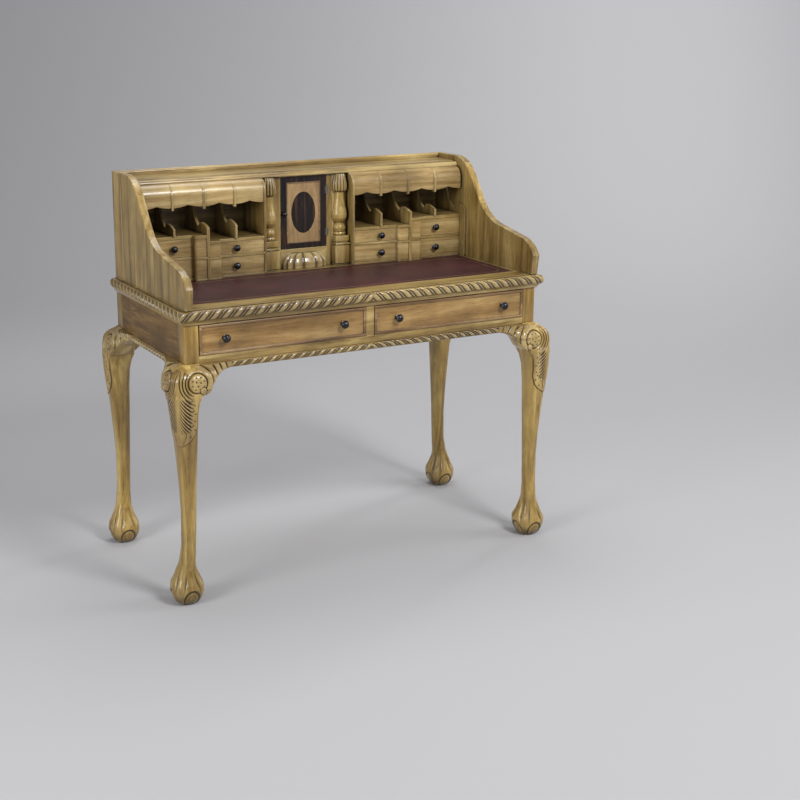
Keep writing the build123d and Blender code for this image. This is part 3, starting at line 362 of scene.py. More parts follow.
def finish_nodes():
    """Grain runs along each board."""
    finish("aprons", apron_back_wood, apron_side_wood, on_side_apron)
    finish("valances", front_wood, wood_z, on_rib)
    plain = {
        wood_x: ("front_rails", "back_panel", "top_board", "unit_shelves"),
        wood_z: ("unit_uprights", "pigeonhole_partitions"),
        side_wood: ("side_panel_left", "side_panel_right"),
        top_wood: ("desk_top",),
        lining_wood: ("drawer_runners",),
        leather: ("leather_panel",),
        rosewood: ("door_frame", "door_oval_inlay"),
        satinwood: ("door_panel",),
        bronze: ("door_knob",),
        hinge_metal: ("door_hinge_leaves", "stile_hinge_leaves"),
    }
    for material, nodes in plain.items():
        for node in nodes:
            finish(node, material)
    for hand in ("left", "right"):
        finish(f"apron_drawer_{hand}_front", lip_wood, bead_wood, on_bead)
        finish(f"apron_drawer_{hand}_box", lining_wood)
        finish(f"apron_drawer_{hand}_knobs", bronze)
        finish(f"document_box_{hand}_case", lining_wood)
        for column in ("inner", "outer"):
            for level in ("lower", "upper"):
                name = f"{column}_{level}_drawer_{hand}"
                finish(f"{name}_front", front_wood)
                finish(f"{name}_box", lining_wood)
                finish(f"{name}_knob", bronze)


# ----------------------------------------------------------------- mesh helpers
def ease(value, low, high):
    """0 below low, 1 above high, with a smooth rise between."""
    part = np.clip((value - low) / (high - low), 0, 1)
    return part * part * (3 - 2 * part)


def flow(value, places, sizes, soften=5.0):
    """Read a profile given at a few places, with its corners softened."""
    reads = [np.interp(value + step * soften, places, sizes) for step in (-1, -0.5, 0, 0.5, 1)]
    return sum(reads) / len(reads)


def dimple(distance, radius):
    """1 in the middle of a round punch mark, 0 outside it."""
    return np.clip(1 - (distance / radius) ** 2, 0, 1)


def band(value, middle, width):
    """1 on a line, fading to nothing on both sides of it."""
    return np.exp(-((value - middle) / width) ** 2)


def axes(x_way, y_way, z_way, origin):
    """A matrix whose own axes point the given ways, from an origin in millimetres."""
    turn = Matrix((x_way, y_way, z_way)).transposed().to_4x4()
    return Matrix.Translation([part / 1000 for part in origin]) @ turn


def shown(name, mesh, material, body=FRAME_BODY, smooth=True):
    """Link a finished mesh as a piece that rides on a body."""
    mesh.materials.clear()
    mesh.materials.append(material)
    if smooth:
        mesh.shade_smooth()
    else:
        mesh.shade_flat()
    piece = bpy.data.objects.new(name, mesh)
    bpy.context.scene.collection.objects.link(piece)
    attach(piece, body)
    return piece


def skin(name, around, along, shape):
    """A net of quads bent into a closed form: u runs round it, v along it.

    shape(u, v) gives places in millimetres, how stained and how rubbed each is."""
    net = bmesh.new()
    bmesh.ops.create_grid(net, x_segments=around, y_segments=along, size=0.5)
    mesh = bpy.data.meshes.new(name)
    net.to_mesh(mesh)
    net.free()
    flat = np.empty(len(mesh.vertices) * 3)
    mesh.vertices.foreach_get("co", flat)
    flat = flat.reshape(-1, 3)
    u = (flat[:, 0] - flat[:, 0].min()) / np.ptp(flat[:, 0])
    v = (flat[:, 1] - flat[:, 1].min()) / np.ptp(flat[:, 1])
    places, stained, rubbed = shape(u, v)
    mesh.vertices.foreach_set("co", (np.stack(places, axis=1) / 1000).ravel())
    for label, amount in (("patina", stained), ("crest", rubbed)):
        layer = mesh.attributes.new(label, "FLOAT", "POINT")
        layer.data.foreach_set("value", np.clip(amount, 0, 1) * np.ones(len(u)))
    net = bmesh.new()
    net.from_mesh(mesh)
    bmesh.ops.remove_doubles(net, verts=net.verts, dist=0.00002)
    bmesh.ops.holes_fill(net, edges=[edge for edge in net.edges if edge.is_boundary], sides=0)
    bmesh.ops.recalc_face_normals(net, faces=net.faces)
    net.to_mesh(mesh)
    net.free()
    return mesh


# --------------------------------------------------------------------- carved legs
# Height, then outward offsets of the middle from the post's, width and squareness.
LEG_HEIGHT = (0, 70, 96, 122, 158, 250, 319, 407, 469, 517, 560, 590, 612, 624, 634, 641)
LEG_OUT_X = (28.5, 28.5, 28.5, 26, 23, 20.5, 21, 23, 25, 26, 23.5, 22.5, 20, 15, 8, 0.5)
LEG_OUT_Y = (14, 14, 14, 17, 20, 20.5, 21, 22.5, 24, 24, 19.5, 17.5, 17, 14, 8, 0.5)
LEG_WIDTH = (70, 70, 58, 45, 38.6, 39.5, 44, 53, 59, 65, 75, 76, 74, 67, 55, 39)
LEG_SQUARE = (2, 2, 2, 2, 2.1, 2.2, 2.4, 2.8, 3.2, 3.8, 4.4, 4.8, 4.6, 4.6, 5, 7)
FOOT_HEIGHT = (0, 2, 8, 18, 30, 43, 56, 70, 84, 100, 122, 158)
FOOT_RADIUS = (21, 27, 34, 40, 43.6, 45, 43.4, 38.6, 33, 27.5, 22.5, 19.3)
RIDGE_X = 571.5  # outermost line of the knee's corner
RIDGE_Y = 289.5
EYE = (62, 598)  # middle of the round boss: distance in from the ridge, height
BOSS = 24.5
BALL = (76, 578)
ANKLE = 140  # where the foot's shape ends and the leg's begins
LEAF_HEIGHT = (436, 451, 466, 490, 522, 548, 562)
LEAF_EDGE = (8, 33, 46, 54, 57, 62, 72)
PUNCHES = ((43, 556), (49, 543), (45, 529), (50, 520), (46, 501), (41, 491), (34, 486), (45, 478), (32, 461))
PUNCH_RADIUS = 2.6
BARB_PITCH = 10.6
BARB_SWEEP = 28
BOSS_RISE = 4.6
BOSS_PUNCHES = ((8, 16.5), (3, 6.5))  # how many in each ring, and the ring's radius
SCROLL_RADIUS = 35
SCROLL_HALF = 8.5
SCROLL_RIM = 43.5
HUG_RADIUS = 34
HUG_PITCH = 8
LEAF_RISE = 2.0
FAN_RADIUS = 44
FAN_PITCH = 17
BALL_RADIUS = 9


def gouge(turn, width):
    """Depth of evenly spaced gouge cuts, at whole turns, whose width is part of a turn."""
    away = np.abs((turn + 0.5) % 1 - 0.5) * 2
    wide = np.clip(width, 0.001, 1)
    return ease(1 - away / wide, 0.0, 0.75) * ease(width, 0.04, 0.3)


def bow(value, low, high):
    """A smooth hump from low to high."""
    return np.sin(np.clip((value - low) / (high - low), 0, 1) * math.pi)


def cut_scroll(from_eye, turn, inward):
    """The round boss, the scroll that wraps it, and the cuts that follow its outer side."""
    raised = BOSS_RISE * np.sqrt(np.clip(1 - (from_eye / BOSS) ** 4, 0, 1))
    stained = band(from_eye, BOSS + 0.8, 1.5)
    raised -= 2.4 * stained
    scroll = np.clip(1 - ((from_eye - SCROLL_RADIUS) / SCROLL_HALF) ** 2, 0, 1)
    raised += BOSS_RISE * np.sqrt(scroll) * np.maximum(ease(-turn, -135, -100), ease(turn, 300, 315))
    rim = band(from_eye, SCROLL_RIM, 1.3) * np.maximum(ease(-turn, -95, -70), ease(turn, 318, 328))
    raised -= 2.2 * rim
    stained = np.maximum(stained, rim)
    hug = gouge((from_eye - HUG_RADIUS) / HUG_PITCH, 0.62 * bow(turn, 118, 262) * ease(-from_eye, -54, -48))
    hug = hug * ease(from_eye, 28, 31) * ease(inward, 6, 10)
    on_hug = bow(turn, 110, 275) * ease(from_eye, 27, 30) * ease(-from_eye, -60, -52)
    raised += 1.8 * on_hug - 3.0 * hug
    return raised, np.maximum(stained, np.clip(1.3 * hug, 0, 1))


def cut_leaf(raised, stained, from_eye, inward, height):
    """The leaf below: barbs that leave the ridge upright and sweep down and inward."""
    edge = np.interp(height, LEAF_HEIGHT, LEAF_EDGE)
    reach = np.clip(edge - 11, 12, 60)
    sweep = (height + BARB_SWEEP * np.log(np.clip(inward, 1, None) / 8)) / BARB_PITCH
    field = ease(height, 466, 482) * ease(-height, -566, -556) * ease(from_eye, 46, 50)
    barbs = gouge(sweep, 0.74 * bow(inward, 7, reach) * field)
    raised += 1.2 * field * bow(inward, 4, reach) - 3.0 * barbs
    stained = np.maximum(stained, np.clip(1.35 * barbs, 0, 1))
    # the leaf stands above the plain leg inside its outline
    raised += LEAF_RISE * ease(edge - inward, -0.5, 2.0) * ease(height, 434, 441) * ease(-height, -575, -560)
    border = band(inward, edge + 0.6, 1.5) * ease(height, 433, 440) * ease(-height, -556, -535)
    raised -= 1.6 * border
    stained = np.maximum(stained, border)
    foot_vein = band(inward, 0.40 * edge + 3, 1.2) * bow(height, 444, 482)
    raised -= 1.3 * foot_vein
    return raised, np.maximum(stained, 0.9 * foot_vein)


def cut_punches(raised, stained, inward, height):
    """Round punch marks in the ground of the leaf and in rings on the boss."""
    for spot_in, spot_height in PUNCHES:
        away = np.hypot(inward - spot_in, height - spot_height)
        raised -= 1.9 * dimple(away, PUNCH_RADIUS)
        stained = np.maximum(stained, dimple(away, 3.2))
    for count, radius in BOSS_PUNCHES:
        for number in range(count):
            angle = 2 * math.pi * number / count + 0.3
            away = np.hypot(inward - EYE[0] - radius * math.cos(angle),
                            height - EYE[1] - radius * math.sin(angle))
            raised -= 2.0 * dimple(away, PUNCH_RADIUS)
            stained = np.maximum(stained, dimple(away, 3.1))
    return raised, stained


def cut_ear(raised, stained, from_eye, turn, inward, height):
    """The small ball that closes the scroll, and the leaves of the ear beyond it."""
    curl = np.hypot(inward - BALL[0], height - BALL[1])
    raised = np.where(curl < BALL_RADIUS, 1.0 + 4.0 * np.sqrt(dimple(curl, BALL_RADIUS)), raised)
    stained = np.where(curl < 8.4, 0, stained)
    curl_line = band(curl, 9.4, 1.1)
    stained = np.maximum(stained, 0.9 * curl_line)
    raised -= 1.8 * curl_line
    leaves = (from_eye - FAN_RADIUS) / FAN_PITCH
    fan = gouge(leaves, 0.34 * bow(turn, -8, 85)) * ease(from_eye, 47, 50)
    plump = np.abs(np.sin(math.pi * leaves)) * ease(from_eye, 44, 47) * (turn < 90)
    raised += 2.4 * np.sqrt(plump) - 2.4 * fan
    return raised, np.maximum(stained, np.clip(1.3 * fan, 0, 1))


def relief(inward, height):
    """Carving of one outer face of a knee: raised depth, stain and rub."""
    from_eye = np.hypot(inward - EYE[0], height - EYE[1])
    turn = np.degrees(np.arctan2(height - EYE[1], inward - EYE[0])) % 360
    raised, stained = cut_scroll(from_eye, turn, inward)
    raised, stained = cut_leaf(raised, stained, from_eye, inward, height)
    raised, stained = cut_punches(raised, stained, inward, height)
    raised, stained = cut_ear(raised, stained, from_eye, turn, inward, height)
    rubbed = np.clip(raised / 6.0, 0, 1) * (1 - stained)
    return raised, stained, rubbed


def claw_foot(angle, height, radius):
    """Ball gripped by four toes: change of radius, stain and rub."""
    off_face = np.abs((np.degrees(angle) + 45) % 90 - 45)
    arch = np.hypot(off_face / 35, height / 42)
    low = ease(-height, -75, -45)
    line = band((arch - 1) * 28, 0, 1.9) * low
    toes = ease(arch, 0.98, 1.12) * low
    ridge = band(off_face, 45, 11)
    tendon = ridge * ease(height, 20, 55) * ease(-height, -135, -80)
    knuckle = ridge * (band(height, 58, 9) + 0.7 * band(height, 31, 8))
    between = band(off_face, 24, 7) * ease(height, 45, 62) * ease(-height, -128, -92)
    change = -2.6 + 2.6 * toes - 2.6 * line + 2.2 * tendon + 1.5 * knuckle - 2.4 * between
    fade = ease(-height, -ANKLE, -95)
    change = change * fade
    nail = band(height, 17, 2.2) * ridge
    split = band(off_face, 27 - (height - 55) * 0.12, 2.2) * bow(height, 38, 88)
    inside = band((np.hypot(off_face / 15, (height - 17) / 14) - 1) * 12, 0, 1.6) * (arch < 0.92)
    change = change - 2.4 * split * fade - 0.5 * inside
    stained = np.maximum(line, 0.30 * between)
    stained = np.maximum(stained, np.maximum(0.95 * split, 0.45 * inside))
    stained = np.maximum(stained, 0.5 * nail)
    rubbed = np.clip(0.5 * tendon + 0.6 * knuckle, 0, 1) * (1 - stained)
    return change - 0.8 * nail, stained, rubbed


# rows and turns of the net lie closest over the carved knee and its two outer faces
LEG_ROWS = (0, 0.27, 0.38, 1)
LEG_ROW_HEIGHTS = (0, 132, 425, 641)
LEG_TURNS = (0, 0.38, 0.5, 0.62, 1)
LEG_ANGLES = (45, 140, 220, 310, 405)


def leg_shape(u, v):
    """One cabriole in its own corner: x and y are outward from the middle of the post."""
    height = np.interp(v, LEG_ROWS, LEG_ROW_HEIGHTS)
    angle = np.radians(np.interp(u, LEG_TURNS, LEG_ANGLES))
    middle_x = flow(height, LEG_HEIGHT, LEG_OUT_X)
    middle_y = flow(height, LEG_HEIGHT, LEG_OUT_Y)
    half = flow(height, LEG_HEIGHT, LEG_WIDTH) / 2
    foot = flow(height, FOOT_HEIGHT, FOOT_RADIUS, 2.5)
    foot = np.where(height < 4, np.interp(height, FOOT_HEIGHT, FOOT_RADIUS), foot)
    low = height < ANKLE
    half = np.where(low, foot, half)
    square = flow(height, LEG_HEIGHT, LEG_SQUARE)
    c, s = np.cos(angle), np.sin(angle)
    inner_half = np.minimum(c, s) < 0
    square = np.where(inner_half, square + 9 * ease(height, 545, 570), square)
    reach = half / (np.abs(c) ** square + np.abs(s) ** square) ** (1 / square)
    x, y = reach * c, reach * s
    normal_x = np.sign(c) * np.abs(c) ** (square - 1)
    normal_y = np.sign(s) * np.abs(s) ** (square - 1)
    length = np.hypot(normal_x, normal_y)
    high = height > 556
    ridge_x = np.where(high, RIDGE_X - POST_X - middle_x, half)
    ridge_y = np.where(high, RIDGE_Y - POST_Y - middle_y, half)
    inward = np.where(y > x, ridge_x - x, ridge_y - y)
    raised, stained, rubbed = relief(inward, height)
    outer = ease(np.maximum(x, y) / half, 0.55, 0.85) * ease(height, 405, 412) * ease(-height, -636, -626)
    change, foot_stain, foot_rub = claw_foot(angle, height, foot)
    move = np.where(low, change, raised * outer)
    x = x + move * normal_x / length + middle_x
    y = y + move * normal_y / length + middle_y
    stained = np.where(low, foot_stain, stained * outer)
    rubbed = np.where(low, foot_rub, rubbed * outer)
    return (x, y, height), stained, rubbed


def boxes(name, *solids, rounding=0.8):
    """Planed blocks with softened edges, each given by its ranges in millimetres."""
    net = bmesh.new()
    for x, y, z in solids:
        size = Matrix.Diagonal((x[1] - x[0], y[1] - y[0], z[1] - z[0], 1))
        middle = Matrix.Translation(((x[0] + x[1]) / 2, (y[0] + y[1]) / 2, (z[0] + z[1]) / 2))
        block = bmesh.ops.create_cube(net, size=1.0, matrix=middle @ size)
        edges = list({edge for vert in block["verts"] for edge in vert.link_edges})
        bmesh.ops.bevel(net, geom=edges, offset=rounding, offset_type="OFFSET", affect="EDGES",
                        segments=2, profile=0.5, material=-1)
    bmesh.ops.scale(net, vec=(0.001, 0.001, 0.001), verts=net.verts)
    mesh = bpy.data.meshes.new(name)
    net.to_mesh(mesh)
    net.free()
    return mesh


def in_corner(mesh, name, side, end, origin_x=0.0, origin_y=0.0):
    """A copy of a mesh made for outward x and y, put in one corner of the desk."""
    copy = mesh.copy()
    copy.name = name
    copy.transform(Matrix.Translation((origin_x / 1000, origin_y / 1000, 0)))
    copy.transform(Matrix.Diagonal((side, end, 1, 1)))
    if side * end < 0:
        copy.flip_normals()
    return copy


CORNERS = [(side, end, f"{'front' if end < 0 else 'back'}_{'left' if side < 0 else 'right'}")
           for side in (-1, 1) for end in (-1, 1)]


def make_legs():
    """Four mirrored cabrioles under their square posts."""
    pattern = skin("cabriole", 250, 388, leg_shape)
    post = boxes("post", ((POST_INNER_X, HALF_WIDTH), (POST_INNER_Y, HALF_DEPTH),
                          (APRON_BOTTOM, APRON_TOP)), rounding=1.2)
    for side, end, corner in CORNERS:
        leg = shown(f"carved_leg_{corner}", in_corner(pattern, "leg", side, end, POST_X, POST_Y), carved_z)
        top = shown(f"corner_post_{corner}", in_corner(post, "post", side, end), post_wood)
        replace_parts(leg, f"leg_{corner}")
        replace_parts(top, f"leg_{corner}")


# ------------------------------------------------------------------ knee brackets
EAR_ALONG = (-16, 0, 8, 22, 36, 55, 84, 88)
EAR_LOW = (562, 565, 568, 580, 603, 617, 623, 623)
EAR_BACK = -14
STRIP_PROUD = 9
EAR_REACH = 84
EAR_FRONT = 0.66  # share of the net's turns on the carved face


def ear_face(run, height, out, post, apron, ridge):
    """Depth in front of the apron, stain and rub of an ear's carved face."""
    leg_face = flow(height, LEG_HEIGHT, np.array(out) + np.array(LEG_WIDTH) / 2) + post - apron
    tip = ease(run, 4, EAR_REACH)
    swell = np.maximum(leg_face, 26 * ease(run, -8, 20)) * (1 - tip) + STRIP_PROUD * tip
    raised, stained, rubbed = relief(ridge + run, height)
    under = 1.5 * (1 - ease(run, -9, -2))
    fade = 1 - 0.55 * ease(run, 50, EAR_REACH)
    return swell + raised * fade - under, stained, rubbed


def ear_shape(u, v, *knee):
    """x runs along the apron from the post, y is outward from the apron's face."""
    run = -16 + (EAR_REACH + 17) * v
    bottom = flow(run, EAR_ALONG, EAR_LOW, 3)
    tall = APRON_BOTTOM - bottom
    down = np.clip(u / EAR_FRONT, 0, 1)
    height = APRON_BOTTOM - down * (tall - 5)
    depth, stained, rubbed = ear_face(run, height, *knee)
    # round the lower edge, run back, up the flat back and over the top
    places = (EAR_FRONT, EAR_FRONT + 0.12, EAR_FRONT + 0.20, 0.93, 1.0)
    bend = np.clip((u - places[0]) / (places[1] - places[0]), 0, 1) * math.pi / 2
    height = np.where(u > places[0], bottom + 5 * (1 - np.sin(bend)), height)
    depth = np.where(u > places[0], depth - 5 * (1 - np.cos(bend)), depth)
    back = np.clip((u - places[1]) / (places[2] - places[1]), 0, 1)
    depth = depth * (1 - back) + EAR_BACK * back
    rise = np.clip((u - places[2]) / (places[3] - places[2]), 0, 1)
    height = np.where(u > places[2], bottom + rise * tall, height)
    over = np.clip((u - places[3]) / (places[4] - places[3]), 0, 1)
    top_depth = ear_face(run, np.full_like(run, APRON_BOTTOM, dtype=float), *knee)[0]
    depth = np.where(over > 0, EAR_BACK * (1 - over) + top_depth * over, depth)
    return (run, depth, height), stained * (u < places[0]), rubbed * (u < places[0])


def make_brackets():
    """Two carved ears to each knee, one along the front or back, one along the side."""
    front_knee = (LEG_OUT_Y, POST_Y, HALF_DEPTH, RIDGE_X - POST_INNER_X)
    side_knee = (LEG_OUT_X, POST_X, HALF_WIDTH, RIDGE_Y - POST_INNER_Y)
    along_front = axes((-1, 0, 0), (0, 1, 0), (0, 0, 1), (POST_INNER_X, HALF_DEPTH, 0))
    along_side = axes((0, -1, 0), (1, 0, 0), (0, 0, 1), (HALF_WIDTH, POST_INNER_Y, 0))
    for way, matrix, material, knee in (("front", along_front, carved_x, front_knee),
                                        ("side", along_side, carved_y, side_knee)):
        placed = skin("ear", 140, 110, lambda u, v: ear_shape(u, v, *knee))
        placed.transform(matrix)
        if matrix.determinant() < 0:
            placed.flip_normals()
        for side, end, corner in CORNERS:
            ear = shown(f"knee_bracket_{corner}_{way}", in_corner(placed, "ear", side, end), material)
            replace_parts(ear, "knee_brackets")


# ---------------------------------------------------------------- gadroon strips
def lobes(run, angle, pitch, lean):
    """Slanting fat lobes with a thin one between: groove depth 0 to 1."""
    turn = (run / pitch + lean * angle / math.pi) % 1
    fat = np.sqrt(np.clip(1 - ((turn - 0.31) / 0.30) ** 2, 0, 1))
    thin = 0.72 * np.sqrt(np.clip(1 - ((turn - 0.81) / 0.11) ** 2, 0, 1))
    return 1 - np.maximum(fat, thin)


TOP_SECTION = ((10.5, 752), (8, 748.5), (5.5, 744), (3.2, 740), (0.2, 740), (0.2, 757), (2.2, 757),
               (2.2, 777.6), (10.5, 777))
TOP_BELLY = ((10.5, 764.5), (7.5, 12.5))  # middle and radii, each outward then upward
TOP_GROOVE = 5.4
LOW_SECTION = ((3, 622), (-9, 622), (-9, 638.8), (3, 638.8))
LOW_BELLY = ((3, 630.4), (6, 8.4))
LOW_GROOVE = 5.2
BELLY_SHARE = 0.55  # share of the net's turns on the belly
STRIP_TURNS = 44


def strip_shape(section, belly, groove, length_at, pitch, lean, mirrored):
    """Section through corner points, with a half-round belly between the last and first."""
    (mid_out, mid_up), (rad_out, rad_up) = belly
    places = np.arange(len(section))
    section_out, section_up = zip(*section)

    def shape(u, v):
        on_belly = u < BELLY_SHARE
        angle = math.pi / 2 - np.clip(u / BELLY_SHARE, 0, 1) * math.pi
        near, far = length_at(0.0)
        rough_run = near + (far - near) * v
        cut = lobes(np.abs(rough_run) if mirrored else rough_run, angle, pitch, lean)
        cut = cut * np.clip(np.cos(angle) * 2.2, 0, 1)
        fit = 1 - groove * cut / rad_up
        along = np.clip((u - BELLY_SHARE) / (1 - BELLY_SHARE), 0, 1) * (len(section) - 1)
        out = np.where(on_belly, mid_out + rad_out * np.cos(angle) * fit,
                       np.interp(along, places, section_out))
        up = np.where(on_belly, mid_up + rad_up * np.sin(angle) * (0.35 * fit + 0.65),
                      np.interp(along, places, section_up))
        near, far = length_at(out)
        stained = np.where(on_belly, np.clip(cut * 1.35 - 0.15, 0, 1), 0)
        rubbed = np.where(on_belly, (1 - cut) * np.cos(angle) ** 2 * 0.9, 0)
        return (near + (far - near) * v, out, up), stained, rubbed
    return shape


def make_mouldings():
    """Carved strips round the top's edge and under the apron, mitred at the corners."""
    front_reach = POST_INNER_X - EAR_REACH
    side_reach = POST_INNER_Y - EAR_REACH
    top = (TOP_SECTION, TOP_BELLY, TOP_GROOVE)
    low = (LOW_SECTION, LOW_BELLY, LOW_GROOVE)
    # name, section, ends, pitch and lean of the lobes, whether they turn at the middle, rows
    strips = (
        ("top_front", top, lambda out: (-HALF_WIDTH - out, HALF_WIDTH + out), 30.4, 1.05, True, 860),
        ("low_front", low, lambda out: (-front_reach, front_reach), 28.0, 1.0, True, 600),
        ("top_side", top, lambda out: (-HALF_DEPTH, HALF_DEPTH + out), 26.0, 0.7, False, 420),
        ("low_side", low, lambda out: (-side_reach, side_reach), 20.0, 0.6, False, 230),
    )
    for name, section, length_at, pitch, lean, mirrored, rows in strips:
        shape = strip_shape(*section, length_at, pitch, lean, mirrored)
        mesh = skin(name, STRIP_TURNS, rows, shape)
        if name.endswith("front"):
            mesh.transform(axes((1, 0, 0), (0, -1, 0), (0, 0, 1), (0, -HALF_DEPTH, 0)))
            mesh.flip_normals()
            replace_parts(shown(f"gadroon_{name}", mesh, carved_x), "gadroon_mouldings")
            continue
        for side, hand in ((-1, "left"), (1, "right")):
            copy = mesh.copy()
            copy.transform(axes((0, -1, 0), (side, 0, 0), (0, 0, 1), (side * HALF_WIDTH, 0, 0)))
            if side < 0:
                copy.flip_normals()
            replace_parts(shown(f"gadroon_{name}_{hand}", copy, carved_y), "gadroon_mouldings")


# ----------------------------------------------------------- shell and pilasters
DOOR_FACE = 142
SHELL_LOBES = 13
SHELL_TALL = 42.2
SHELL_FRONT = 0.8  # share of the net's turns on the front


def shell_shape(u, v):
    """Half dome of flutes that spread from under the rail."""
    height = SURFACE + 0.3 + SHELL_TALL * v
    half = flow(height, (780, 792, 800, 812, 818, 823), (71, 72, 70, 62, 54, 42), 2)
    proud = flow(height, (780, 796, 810, 823), (25, 26, 20, 8), 3)
    front = u < SHELL_FRONT
    angle = np.clip(u / SHELL_FRONT, 0, 1) * math.pi
    ripple = np.abs(np.sin(SHELL_LOBES * angle / 2))
    cut = 1 - np.sqrt(ripple)
    edge = ease(np.sin(angle), 0.0, 0.12)
    inner = 1 - 0.17 * cut * edge
    wide = np.sign(np.cos(angle)) * np.abs(np.cos(angle)) ** 0.8
    behind = np.clip((u - SHELL_FRONT) / (1 - SHELL_FRONT), 0, 1)
    x = np.where(front, -half * wide * inner, half * (1 - 2 * behind))
    y = np.where(front, DOOR_FACE - proud * np.sin(angle) ** 0.75 * inner, DOOR_FACE)
    stained = np.where(front, np.clip(cut * 1.4, 0, 1) ** 1.3 * edge, 0)
    return (x, y, height), stained, np.where(front, (1 - cut) * 0.8, 0)


COLUMN_HEIGHT = (865, 866, 871, 876.5, 877.5, 887, 897, 899, 904, 906.5, 915, 925, 937, 950, 970, 991)
COLUMN_RADIUS = (15.5, 17.5, 19.2, 16.5, 16.8, 19.2, 16, 13, 13, 16.5, 21.8, 23.3, 21.6, 18, 15, 13.6)
BELL_HEIGHT = (992, 994, 998, 1006, 1014, 1026, 1036, 1043)
BELL_RADIUS = (15, 20.5, 22.6, 23.2, 22.8, 20.6, 17.5, 15)
BELL_LEAVES = 7
BELL_TALL = 51
COLUMN_TALL = 128
COLUMN_AXIS_Y = 140
PILASTER_X = 112.75
PILASTER_HALF = 23.6
# half width, how far forward, bottom and top of each block under the column
PILASTER_BLOCKS = ((PILASTER_HALF, 25, 785.8, 838), (18.5, 20, 837.5, 840.5), (PILASTER_HALF, 28, 840, 845),
                   (19.5, 21.5, 844.5, 849.5), (22, 24, 849, 865.5))


def column_shape(u, v):
    """Turned shaft with rings and a bulb."""
    height = COLUMN_HEIGHT[0] + COLUMN_TALL * v
    angle = 2 * math.pi * u
    radius = flow(height, COLUMN_HEIGHT, COLUMN_RADIUS, 1.6)
    stained = band(height, 877, 1.2) + band(height, 901.5, 2.6) * 0.55 + band(height, 991, 1.5)
    return (radius * np.cos(angle), radius * np.sin(angle), height), stained, ease(radius, 19, 24) * 0.5


def bell_shape(u, v):
    """Drooping leaves round the top of the column."""
    angle = 2 * math.pi * u
    height = BELL_HEIGHT[0] + BELL_TALL * v
    leaf = np.abs(np.sin(BELL_LEAVES * angle))
    radius = flow(height, BELL_HEIGHT, BELL_RADIUS, 1.5)
    cut = (1 - np.sqrt(leaf)) * ease(height, 992.5, 997)
    radius = radius * (1 - 0.16 * cut)
    vein = band(np.abs(np.sin(BELL_LEAVES * angle + math.pi / 2)), 0, 0.16) * 0.35
    height = height + 3.2 * (1 - leaf) * ease(-height, -1002, -992)
    stained = np.clip(cut * 1.3, 0, 1) + vein * ease(height, 994, 1000)
    return (radius * np.cos(angle), radius * np.sin(angle), height), stained, leaf * 0.7


def make_shell():
    """Fluted shell planted on its plaque."""
    plaque = boxes("plaque", ((-73.3, 73.3), (DOOR_FACE, 152), (SURFACE, 822.8)), rounding=0.5)
    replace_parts(shown("shell_ground", plaque, wood_x), "shell_plaque")
    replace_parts(shown("fluted_shell", skin("shell", 240, 30, shell_shape), carved_x), "shell_plaque")


def make_pilasters():
    """Base block, ledge, plinth and turned column on the front of each document box."""
    shaft = skin("shaft", 72, 120, column_shape)
    bell = skin("bell", 154, 44, bell_shape)
    for side, hand in ((-1, "left"), (1, "right")):
        middle = side * PILASTER_X
        body = f"document_box_{hand}"
        node = f"{body}_pilaster"
        low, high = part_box(node)
        blocks = [((middle - PILASTER_HALF, middle + PILASTER_HALF), (COLUMN_AXIS_Y, COLUMN_AXIS_Y + 8),
                   (low.z * 1000, high.z * 1000))]
        for half, proud, bottom, top in PILASTER_BLOCKS:
            blocks.append(((middle - half, middle + half), (COLUMN_AXIS_Y - proud, COLUMN_AXIS_Y + 1),
                           (bottom, top)))
        piece = shown(f"pilaster_block_{hand}", boxes("blocks", *blocks, rounding=0.9), wood_z, body)
        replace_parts(piece, node)
        place = Matrix.Translation((middle / 1000, (COLUMN_AXIS_Y - 0.5) / 1000, 0))
        for label, mesh in (("column", shaft), ("capital", bell)):
            copy = mesh.copy()
            copy.transform(place)
            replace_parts(shown(f"pilaster_{label}_{hand}", copy, carved_z, body), node)


# ----------------------------------------------------------------- lines and beads
def outline_ring(name, points, plane, width, thick):
    """A flat closed band along an outline, given in the plane's own directions."""
    net = bmesh.new()
    corners = [net.verts.new((x / 1000, y / 1000, 0)) for x, y in points]
    net.faces.new(corners)
    net.normal_update()
    bmesh.ops.inset_region(net, faces=net.faces[:], thickness=width / 1000, use_even_offset=True,
                           use_boundary=True)
    inner = max(net.faces, key=lambda face: len(face.verts))
    bmesh.ops.delete(net, geom=[inner], context="FACES_ONLY")
    ring = bmesh.ops.extrude_face_region(net, geom=net.faces[:], use_keep_orig=True)
    raised = [item for item in ring["geom"] if isinstance(item, bmesh.types.BMVert)]
    bmesh.ops.translate(net, vec=(0, 0, thick / 1000), verts=raised)
    bmesh.ops.recalc_face_normals(net, faces=net.faces)
    bmesh.ops.transform(net, matrix=plane, verts=net.verts)
    mesh = bpy.data.meshes.new(name)
    net.to_mesh(mesh)
    net.free()
    return mesh


LINE_SIDE = 476
LINE_FRONT = -180
LINE_BACK = 64
LINE_CORNER = 26
DOOR_FIELD = (-53.4, 53.4)
DOOR_FIELD_LOW = 850.1
DOOR_FIELD_HIGH = 1024.9
OVAL_MIDDLE = 937.5
OVAL_RADII = (39.4, 60.4)
OVAL_STEPS = 64


